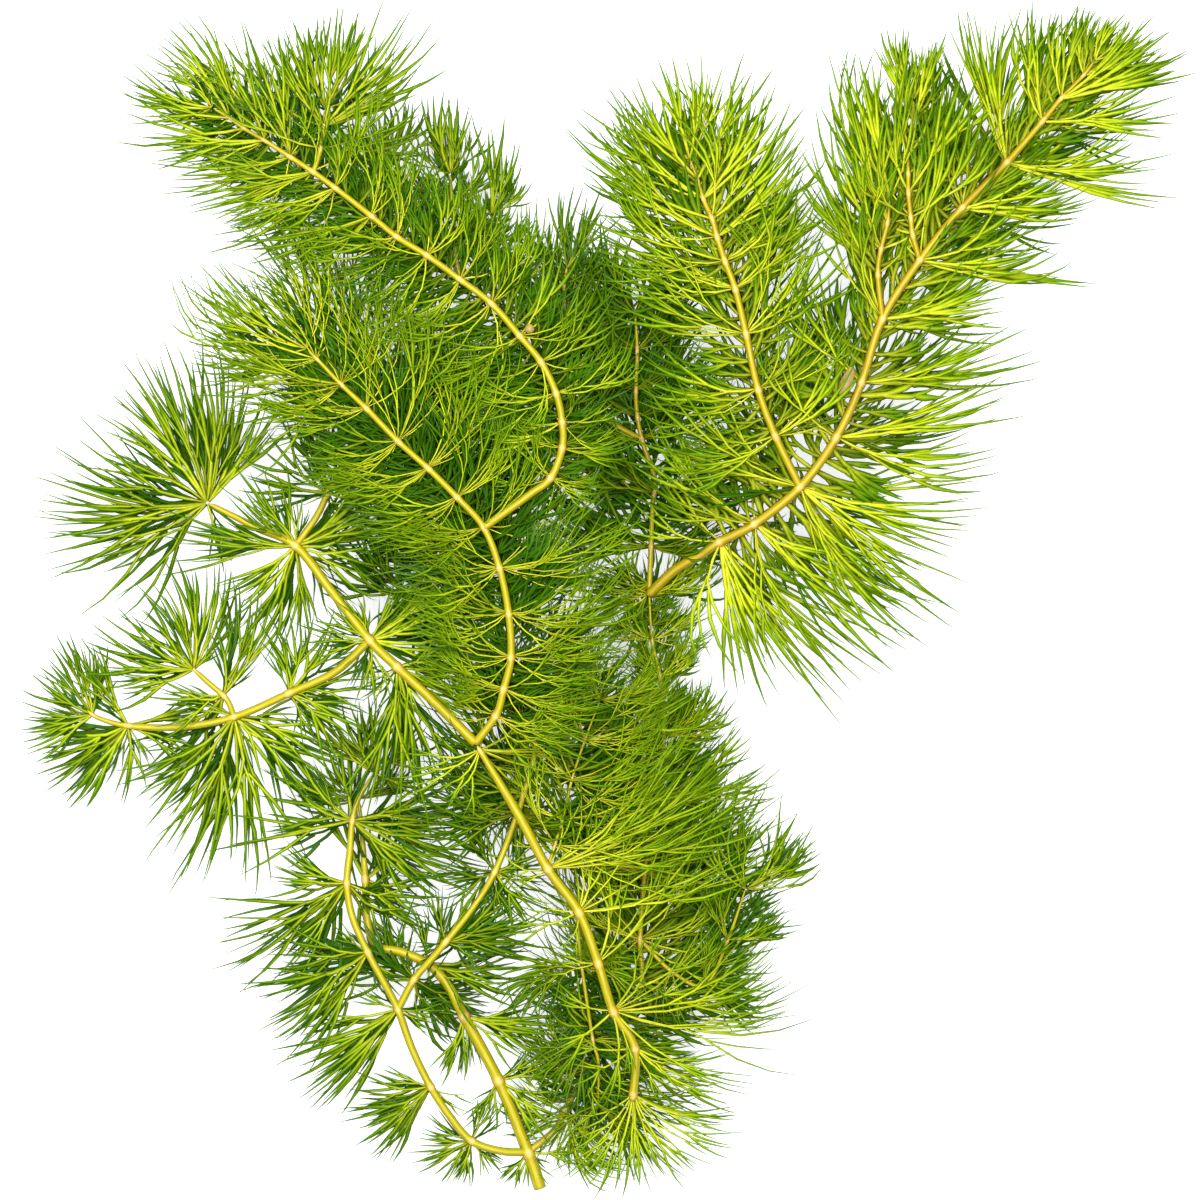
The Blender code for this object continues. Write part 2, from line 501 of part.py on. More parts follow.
def draw_leaf(bm, face, along, fork, tips):
    """Grow a leaf out of a whorl face: a stalk to the fork if it has one, then two tines."""
    if fork is not None:
        base = np.array(face.calc_center_median())
        across, lengthwise = leaf_axes(fork - base, along)
        offsets = [np.array(v.co) - base for v in face.verts]
        face = bmesh.ops.extrude_discrete_faces(bm, faces=[face])["faces"][0]
        for vert, offset in zip(face.verts, offsets):
            u = math.copysign(LEAF_THICKNESS / 2, offset @ across)
            v = math.copysign(LEAF_THICKNESS / 2, offset @ lengthwise)
            vert.co = fork + u * across + v * lengthwise
    split_and_point(bm, face, [Vector(t) for t in tips])


def settle_tip(tip):
    """Bend a leaf whose tip comes near the surface, or would pass through it, down onto it."""
    if tip[2] < NEAR_FLOOR:
        tip[2] = 0.0
    return tip


def leaf_lines(base, fork, tips):
    """The straight stretches of one leaf, as start, end and the radius at each."""
    thick = LEAF_THICKNESS * 0.72
    if fork is None:
        return [(base + (tip - base) * 0.03, tip, thick, TIP_RADIUS) for tip in tips]
    lines = [(base + (fork - base) * 0.06, fork, thick, thick)]
    lines += [(fork + (tip - fork) * 0.08, tip, thick, TIP_RADIUS) for tip in tips]
    return lines


def free_faces(sides, feet):
    """Faces of a whorl's band that are clear of side branches, with their middles."""
    free = [(f, np.array(f.calc_center_median())) for f in sides]
    for foot, radius in feet:
        free = [item for item in free if np.linalg.norm(item[1] - foot) > radius + BRANCH_ROOM]
    return free


def plan_angle(point, middle):
    """Bearing of a point about a middle, seen from above."""
    return math.atan2(point[1] - middle[1], point[0] - middle[0])


def pair_tips(tips, middle):
    """Sort tips round their node and group close neighbours in twos."""
    order = sorted(tips, key=lambda t: plan_angle(t, middle))
    turns = [plan_angle(t, middle) for t in order]
    gaps = [(turns[i] - turns[i - 1]) % (2 * math.pi) for i in range(len(turns))]
    first = int(np.argmax(gaps))
    order = order[first:] + order[:first]
    gaps = gaps[first:] + gaps[:first]
    pairs = []
    i = 0
    while i < len(order):
        together = i + 1 < len(order) and gaps[i + 1] < math.radians(SAME_LEAF)
        pairs.append(order[i:i + 2] if together else order[i:i + 1])
        i += len(pairs[-1])
    return pairs


def placed_leaf(pair, middle, base, attempt, draws):
    """One forked leaf whose tips lie where they are wanted, seen from above."""
    rise = float((base - middle)[2]) / float(np.linalg.norm(base - middle))
    swing = draws.uniform(-1, 1) * min(attempt, 20) * 0.1
    lift = rise * 0.26 - 0.06 + draws.uniform(-0.2, 0.2) * min(attempt, 25) / 10
    ends = []
    for k, tip in ((-1, pair[0]), (1, pair[-1])):
        end = np.array((tip[0], tip[1], middle[2]))
        reach = np.linalg.norm(end - middle)
        if len(pair) == 1:
            sideways = np.cross((0.0, 0.0, 1.0), end - middle)
            end = end - k * LONE_SPREAD * sideways
        end[2] += lift * reach - k * swing
        if rise < LOW_FACE:
            end[2] = 0.0
        ends.append(settle_tip(end))
    halfway = (ends[0] + ends[1]) / 2
    fork = base + (halfway - base) * FORK_AT
    fork[2] += FORK_ARCH * np.linalg.norm(halfway - base) * (1 - FORK_AT)
    fork[2] = max(fork[2], LEAF_THICKNESS)
    return fork, ends


def crowded_leaf(stem, place, base, length, opening, attempt, draws):
    """Two straight needles of a crowded whorl, standing out from one face of the node."""
    middle = smooth_point(stem["route"], place)
    along = direction_at(stem["route"], place)
    side, top = side_and_top(along)
    turn = math.atan2(float((base - middle) @ top), float((base - middle) @ side))
    loose = min(attempt, 30) / 30
    spin = turn + draws.uniform(-1, 1) * (0.10 + 0.35 * loose)
    lean = math.radians(opening) + draws.uniform(-1, 1) * (0.12 + 0.30 * loose)
    reach = length * (1 + draws.uniform(-0.12, 0.08))
    tilt = draws.choice((-1, 1))
    ends = []
    for k in (-1, 1):
        around = spin + k * TINE_TURN
        away = lean + k * tilt * TINE_LEAN
        radial = math.cos(around) * side + FLATTENING * math.sin(around) * top
        end = middle + reach * (math.cos(away) * along + math.sin(away) * radial)
        ends.append(settle_tip(end))
    return ends


class Plant:
    """The bunch as it grows: where each stem starts, and what fills the space so far."""

    def __init__(self):
        self.thicket = Thicket()
        self.owners = {name: float(i) for i, name in enumerate(STEMS)}
        self.starts = {}
        self.feet = {}
        for name, stem in STEMS.items():
            self.lay_stem(name, stem)
        for bud in BUDS.values():
            middle = np.array(bud["at"])
            radius = max(bud["radii"])
            self.thicket.add((middle - (0, 0, 0.1), middle + (0, 0, 0.1), radius, radius), -1.0)

    def lay_stem(self, name, stem):
        """Find where a stem starts and take up its space."""
        route = stem["route"]
        self.starts[name], side_branch = clear_start(name, stem)
        if side_branch:
            self.feet[name] = (smooth_point(route, self.starts[name]), stem["radius"][0])
        last = len(route) - 1
        points = [smooth_point(route, p) for p in np.arange(self.starts[name], last, STEM_STRETCH)]
        points.append(route[last])
        thick = max(stem["radius"]) * 1.1
        for a, b in zip(points, points[1:]):
            self.thicket.add((a, b, thick, thick), self.owners[name])

    def grow_leaf(self, bm, name, place, item, propose):
        """Draw the first proposed leaf that stays clear of everything else."""
        face, base = item
        owner = self.owners[name]
        for attempt in range(TRIES):
            fork, tips = propose(base, attempt)
            lines = leaf_lines(base, fork, tips)
            if min(self.thicket.room(line, owner) for line in lines) > CLEARANCE:
                draw_leaf(bm, face, direction_at(STEMS[name]["route"], place), fork, tips)
                for line in lines:
                    self.thicket.add(line, owner)
                return True
        return False

    def open_whorl(self, bm, name, place, free, tips, draws):
        """Leaves of a whorl whose tips are given: each pair of tips is one forked leaf."""
        middle = smooth_point(STEMS[name]["route"], place)
        for pair in pair_tips(tips, middle)[:len(free)]:
            heading = np.mean([(*tip, middle[2]) for tip in pair], axis=0) - middle
            free.sort(key=lambda item: -float((item[1] - middle) @ heading))
            for item in free[:3]:
                propose = lambda base, attempt: placed_leaf(pair, middle, base, attempt, draws)
                if self.grow_leaf(bm, name, place, item, propose):
                    free.remove(item)
                    break

    def crowded_whorl(self, bm, name, place, free, share, draws):
        """Leaves of a crowded whorl: every free face is drawn out to two needles."""
        stem = STEMS[name]
        length = along_values(stem["leaf"], share)
        opening = along_values(stem["opening"], share)
        for item in free:
            self.grow_leaf(bm, name, place, item, lambda base, attempt: (
                None, crowded_leaf(stem, place, base, length, opening, attempt, draws)))

    def grow(self, name):
        """Grow one stem with all its whorls; return its mesh."""
        stem = STEMS[name]
        draws = random.Random(name)
        bm, bands = grow_stem(stem, self.starts[name])
        feet = [foot for other, foot in self.feet.items() if other != name]
        last = max(len(stem["whorls"]) - 1, 1)
        for i, (place, sides) in enumerate(zip(stem["whorls"], bands)):
            free = free_faces(sides, feet)
            tips = OPEN_WHORLS.get((name, place))
            if tips:
                self.open_whorl(bm, name, place, free, tips, draws)
            else:
                self.crowded_whorl(bm, name, place, free, i / last, draws)
        return bm


def plain_material(name, colour, roughness):
    """A plain Principled surface."""
    material = bpy.data.materials.new(name)
    material.use_nodes = True
    shader = material.node_tree.nodes["Principled BSDF"]
    shader.inputs["Base Color"].default_value = colour
    shader.inputs["Roughness"].default_value = roughness
    return material


def keep_object(name, bm, colour, roughness, collection):
    """Turn a finished mesh, modelled in millimetres, into a named object in metres."""
    bmesh.ops.triangulate(bm, faces=bm.faces[:])
    if bm.calc_volume(signed=True) < 0:
        bmesh.ops.reverse_faces(bm, faces=bm.faces[:])
    bmesh.ops.scale(bm, vec=(MM, MM, MM), verts=bm.verts[:])
    mesh = bpy.data.meshes.new(name)
    bm.to_mesh(mesh)
    bm.free()
    mesh.materials.append(plain_material(name + "_surface", colour, roughness))
    collection.objects.link(bpy.data.objects.new(name, mesh))


def make_bud(bud):
    """A small egg-shaped growth, turned about the vertical."""
    bm = bmesh.new()
    bmesh.ops.create_uvsphere(bm, u_segments=8, v_segments=6, radius=1.0)
    bmesh.ops.scale(bm, vec=bud["radii"], verts=bm.verts[:])
    turn = Matrix.Rotation(math.radians(bud["turn"]), 3, "Z")
    bmesh.ops.rotate(bm, matrix=turn, verts=bm.verts[:])
    bmesh.ops.translate(bm, vec=bud["at"], verts=bm.verts[:])
    return bm


def build():
    """Lay out every stem, then grow the leaves of one after another."""
    clear_scene()
    collection = bpy.data.collections.new("hornwort")
    bpy.context.scene.collection.children.link(collection)
    for stem in STEMS.values():
        stem["route"] = np.array(stem["route"], dtype=float)
    plant = Plant()
    for name in STEMS:
        colour = DEEP_GREEN if name in DEEP_STEMS else LEAF_GREEN
        keep_object(name, plant.grow(name), colour, 0.4, collection)
    for name, bud in BUDS.items():
        keep_object(name, make_bud(bud), BUD_CREAM, 0.45, collection)


build()
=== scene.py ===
"""Hornwort, a cut bunch of a submerged water plant, laid flat and seen from above.

The bunch lies on the XY plane with its cut end towards -Y. Every stem is a round
tube carried along its route, with swollen golden nodes, and every whorl carries
repeatedly forked leaves, each a set of thin tapering tubes. Tables are in
millimetres, and the meshes are made in metres.
"""
import math

import bpy
import numpy as np
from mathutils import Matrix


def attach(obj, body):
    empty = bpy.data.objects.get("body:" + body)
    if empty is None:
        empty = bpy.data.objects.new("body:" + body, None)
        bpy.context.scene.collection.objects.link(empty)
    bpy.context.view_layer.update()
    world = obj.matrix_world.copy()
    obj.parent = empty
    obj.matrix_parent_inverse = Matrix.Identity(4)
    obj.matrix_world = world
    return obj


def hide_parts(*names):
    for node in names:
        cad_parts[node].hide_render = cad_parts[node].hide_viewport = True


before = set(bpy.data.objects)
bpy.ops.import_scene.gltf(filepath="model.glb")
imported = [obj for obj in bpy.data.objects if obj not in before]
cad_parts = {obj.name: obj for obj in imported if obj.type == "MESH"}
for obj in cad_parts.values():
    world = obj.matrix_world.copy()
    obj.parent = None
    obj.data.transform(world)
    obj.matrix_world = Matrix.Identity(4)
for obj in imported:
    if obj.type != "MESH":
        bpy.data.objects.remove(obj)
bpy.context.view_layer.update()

MM = 0.001

# Each stem: route as (x, y, z), radius at foot and tip, whorls as places in the route, leaf
# lengths and how far the leaves open from the stem in degrees, both spread from first whorl
# to last, and as sides how much longer than that leaves are at the stem's left and right.
# Whorls in a range are those of a dense shoot, and a few of their leaves may be given besides,
# in the next table. Elsewhere a whorl whose leaves are given there has no others.
STEMS = {
    "cut_base_stem": dict(
        route=[(-10, -98.3, 4), (-12, -92.3, 5), (-17, -80.2, 7), (-22.7, -69.5, 9), (-25.5, -64.2, 9.6),
               (-28.8, -60.7, 10), (-33.3, -58.7, 10), (-37.3, -57.6, 9.6), (-38.9, -53.3, 9),
               (-39.2, -46.7, 8), (-39.8, -38.3, 7), (-40.3, -33.3, 6)],
        radius=(1.05, 0.5), whorls=[1, 2, 3, 5, 9, 11], leaf=(14, 13), opening=(80, 60)),
    "lower_left_branch": dict(
        route=[(-12, -92.3, 5), (-16.7, -92, 7), (-21.5, -90.3, 8), (-25, -86.3, 9), (-28.3, -81.2, 10),
               (-31.3, -75, 11.6), (-33.7, -68.3, 13), (-35.8, -64.2, 14), (-38.7, -58.8, 14.5),
               (-41.3, -52.8, 14.3), (-42.2, -47.3, 14), (-41.7, -41.7, 13.6), (-41.3, -36.8, 13),
               (-40.3, -33, 12.6), (-38.3, -30, 12.2), (-37.7, -28.8, 12)],
        radius=(0.68, 0.55), whorls=[2, 4, 6, 8, 10, 12, 15]),
    "crossing_branch": dict(
        route=[(-33.7, -68.3, 13), (-31, -63.3, 14.5), (-28.2, -60, 15.4), (-25.7, -57, 16),
               (-21.7, -52, 16.4), (-17.5, -45.3, 16.5), (-13.7, -35.5, 16.5), (-12.7, -32.3, 16.7),
               (-11.3, -27.8, 17), (-10.3, -20.3, 18), (-10, -17, 18.5), (-11.2, -12.3, 19)],
        radius=(0.62, 0.42), whorls=[1, 3, 5, 6, 7, 8, 9, 10, 11], leaf=(16, 19, 21, 21, 18),
        opening=(85, 80, 60)),
    "bottom_branch": dict(
        route=[(-12, -92.3, 5), (-7.5, -88.5, 5.5), (-5.7, -85, 6), (-1.8, -78.2, 7), (3, -72, 8),
               (6.8, -64, 9), (6.7, -56.7, 10), (7.5, -45.5, 11), (9.2, -33.3, 12), (10.7, -22.5, 13),
               (10, -12.8, 13), (8.7, -6.7, 12.5), (8.2, 1, 12)],
        radius=(0.6, 0.3), whorls=range(2, 13), leaf=(17, 20, 22, 25, 27, 25, 18, 13, 10, 11, 13),
        opening=(112, 105, 92, 74, 62, 56, 54, 52, 50, 55, 60)),
    "bush_twig_left": dict(
        route=[(-8.7, -44.7, 23), (-7.5, -40.8, 22), (-6.2, -36.5, 21), (-4.7, -30, 20),
               (-2.5, -23.3, 20), (0, -16.7, 21)],
        radius=(0.3, 0.2), whorls=range(1, 6), leaf=(25, 25, 22, 18, 12), opening=(70, 45)),
    "bush_twig_right": dict(
        route=[(6.7, -56.7, 10), (12, -62, 11), (17.5, -64.2, 13), (21.3, -56.7, 15), (24.2, -48.3, 17)],
        radius=(0.4, 0.25), whorls=range(1, 5), leaf=(11, 12, 13, 17), opening=(55, 35)),
    "lower_middle_twig": dict(
        route=[(-3.5, -52, 22), (-3.7, -54.3, 20.5), (-3, -61.2, 17), (-1.2, -73.3, 13), (-0.3, -77, 12),
               (-0.3, -84.2, 10)],
        radius=(0.35, 0.25), whorls=[2, 3, 5], leaf=(16, 15), opening=(70, 40)),
    "main_stem_lower": dict(
        route=[(5.5, -83.3, 14), (5.8, -74.7, 17), (2.2, -68.5, 19), (-0.3, -60.5, 21), (-3.5, -52, 22),
               (-8.7, -44.7, 23), (-13.7, -35.5, 24), (-20.7, -23.8, 25)],
        radius=(0.72, 0.84), whorls=[0.1, 1, 2, 3, 4, 5, 6.9]),
    "main_stem_upper": dict(
        route=[(-20.7, -23.8, 25), (-27, -17.5, 25), (-33.7, -11.2, 24), (-38.3, -6.7, 23.5),
               (-44.5, 1.2, 21), (-50.7, 9, 18), (-57.5, 12.2, 15), (-65.5, 16.2, 12)],
        radius=(0.84, 0.7), whorls=[2, 3, 5, 7]),
    "centre_branch": dict(
        route=[(-20.7, -23.8, 25), (-17.3, -19.2, 27), (-16, -14.8, 28), (-14.8, -9.5, 29),
               (-15.2, -2.2, 30), (-16.7, 5.3, 31), (-19.3, 12, 31), (-23.7, 17, 31), (-28.5, 21.8, 30),
               (-33.5, 26.3, 29), (-38.8, 31.8, 28), (-43, 35.8, 27), (-47, 40, 25.5), (-48.7, 41.7, 25)],
        radius=(0.7, 0.45), whorls=range(1, 14), sides=(0.95, 1.25),
        leaf=(17, 18, 20, 21, 22, 22, 22, 22, 22, 22, 24, 25, 25),
        opening=(75, 72, 70, 68, 66, 64, 62, 58, 54, 48, 42, 32, 22)),
    "top_left_branch": dict(
        route=[(-19.3, 12, 31), (-11.7, 17.5, 31), (-8.2, 20.3, 31), (-6.3, 25.2, 31), (-6.3, 29.5, 31),
               (-7.3, 34.3, 31), (-9.8, 39.5, 30.5), (-13.3, 43.8, 30.3), (-18, 49.2, 30),
               (-23.2, 53.2, 29.5), (-28.7, 57.2, 29), (-33.7, 60.3, 28), (-38, 63.8, 26.5),
               (-44, 68.5, 24.5), (-47.7, 71.2, 23), (-51.5, 73.7, 21), (-55.8, 76.5, 19),
               (-59.2, 78.5, 17), (-61.7, 80.3, 16), (-64.5, 82, 15)],
        radius=(0.7, 0.4), whorls=range(2, 20), sides=(0.92, 0.90),
        leaf=(14, 15, 16, 18, 20, 21, 22, 22, 22, 21, 20, 20, 21, 19, 18, 17, 16, 14),
        opening=(75, 75, 75, 78, 80, 78, 74, 70, 66, 62, 58, 55, 53, 53, 52, 48, 38, 24)),
    "top_left_twig": dict(
        route=[(-47.7, 71.2, 23), (-46.5, 75, 22), (-46, 78.8, 20), (-45.8, 81.7, 18)],
        radius=(0.45, 0.3), whorls=range(1, 4), leaf=(24, 23, 20), opening=(62, 46, 28)),
    "right_outer_twig": dict(
        route=[(53.2, 56.5, 24), (52, 60.8, 25), (51.7, 63.5, 25), (51.3, 67.7, 25), (51.3, 70.7, 23.5),
               (51.2, 75.3, 21.5), (52.2, 79.7, 19.5), (52.2, 83.3, 18)],
        radius=(0.5, 0.32), whorls=range(1, 8), sides=(0.8, 1.0), leaf=(25, 25, 24, 22, 20, 16, 11),
        opening=(33, 31, 29, 27, 25, 21, 14)),
    "right_inner_twig": dict(
        route=[(47, 46.7, 25), (46.2, 54.2, 26.5), (46.7, 58.2, 26.5), (47.8, 62.7, 26),
               (48.2, 66.8, 25)],
        radius=(0.5, 0.35), whorls=range(1, 5), leaf=(22, 24, 26, 26), opening=(34, 30, 24, 16)),
    "right_branch": dict(
        route=[(8.2, 1, 12), (12.5, 5, 15), (16.7, 7.5, 18), (20, 9.7, 20), (25.8, 12.7, 22),
               (33.3, 18.8, 24), (39.3, 27, 25), (43.5, 36.2, 25), (47, 46.7, 25), (53.2, 56.5, 24),
               (60.2, 65.2, 22), (67.7, 72.8, 19.5), (73.7, 79.7, 17.5), (76.8, 83.5, 16.5),
               (80.6, 87.4, 15.3), (82.4, 89.8, 15)],
        radius=(0.86, 0.5), whorls=range(3, 16),
        leaf=(26, 30, 32, 29, 28, 25, 26, 23, 25, 21, 20, 15, 10),
        opening=(104, 100, 92, 72, 58, 44, 38, 38, 36, 32, 30, 24, 16)),
    "right_inner_branch": dict(
        route=[(33.3, 18.8, 24), (29.2, 27.2, 25.5), (26.3, 35, 26), (24.3, 44.2, 26), (22.5, 51.7, 26),
               (20.8, 56.3, 25.5), (19.5, 60.3, 25), (18.7, 63.3, 24), (17.2, 66.7, 22.5), (16.2, 70, 21),
               (15, 73.3, 19)],
        radius=(0.68, 0.4), whorls=range(1, 11), sides=(0.94, 0.9),
        leaf=(25, 26, 27, 28, 28, 28, 28, 26, 23, 18), opening=(72, 64, 57, 51, 47, 43, 39, 34, 28, 20)),
    "left_branch": dict(
        route=[(-38.3, -6.7, 23.5), (-44.2, -12, 19.5), (-51.7, -15.5, 17), (-61, -19.5, 13.5),
               (-70, -21.2, 11), (-78.8, -21, 9), (-83.7, -19.7, 8.2), (-85.8, -18.3, 8)],
        radius=(0.72, 0.5), whorls=[2, 3, 5, 6.4]),
    "left_twig": dict(
        route=[(-61, -19.5, 13.5), (-62.3, -16.5, 14), (-65.3, -13.8, 13), (-68.2, -11.2, 11.5)],
        radius=(0.5, 0.42), whorls=[1.2, 2.85]),
    "left_crossing_twig": dict(
        route=[(-50.7, 9, 18), (-47.3, 13.8, 17), (-45.3, 17.8, 16), (-42.5, 22.5, 15.4), (-38.8, 28, 15),
               (-35, 29.6, 15.2), (-31, 29.6, 16.6), (-28.3, 30.8, 18), (-27.3, 33.8, 20),
               (-25.5, 38.7, 22)],
        radius=(0.6, 0.4), whorls=[2, 3, 4.4, 6, 7, 8, 8.8], leaf=(15, 15), opening=(80, 40)),
    "middle_branch": dict(
        route=[(8.2, 1, 12), (8.5, 8.8, 12), (8.8, 16.2, 12), (9.2, 20, 12), (7, 26.7, 12),
               (6, 33.3, 12.5), (6.2, 41.7, 13), (5.8, 48.7, 13.5)],
        radius=(0.45, 0.35), whorls=[1, 2.4, 4, 4.6, 5.2, 6, 6.85], sides=(1.35, 1.0), leaf=(18, 18, 14),
        opening=(75, 40)),
    "middle_twig": dict(
        route=[(7, 26.7, 12), (2.5, 29.2, 11), (-1.7, 31.7, 11), (-4, 38.3, 12), (-5.3, 45, 13),
               (-6, 51.7, 14), (-5.5, 55.5, 15)],
        radius=(0.5, 0.4), whorls=[2, 3, 4, 4.6, 5.2, 5.9], leaf=(15, 14, 14), opening=(75, 32)),
    "top_hidden_twig_middle": dict(
        route=[(-23.2, 53.2, 29.5), (-24, 57, 23), (-24.2, 60.8, 17.5), (-24.6, 66, 13), (-25, 71, 10.5)],
        radius=(0.45, 0.35), whorls=range(1, 5), leaf=(14, 13, 12), opening=(65, 32)),
    "top_hidden_twig_left": dict(
        route=[(-33.7, 60.3, 28), (-34.5, 63, 21.5), (-35.3, 66.7, 15.5), (-36.2, 72.5, 10.5)],
        radius=(0.45, 0.35), whorls=range(1, 4), leaf=(14, 15, 14), opening=(60, 32)),
    "top_hidden_twig_right": dict(
        route=[(-18, 49.2, 30), (-17.5, 53, 23), (-17.5, 57.5, 17), (-18, 64.2, 12)],
        radius=(0.45, 0.35), whorls=range(1, 4), leaf=(12, 11), opening=(60, 36)),
    "under_branch": dict(
        route=[(-38.3, -6.7, 23.5), (-33.6, -1.6, 16), (-28.5, 6, 11), (-25, 15, 10), (-21.5, 24, 10),
               (-19.5, 33, 10.5)],
        radius=(0.5, 0.4), whorls=[1.3, 2, 2.5, 3, 3.5, 4, 4.9], leaf=(18, 17), opening=(85, 50)),
}

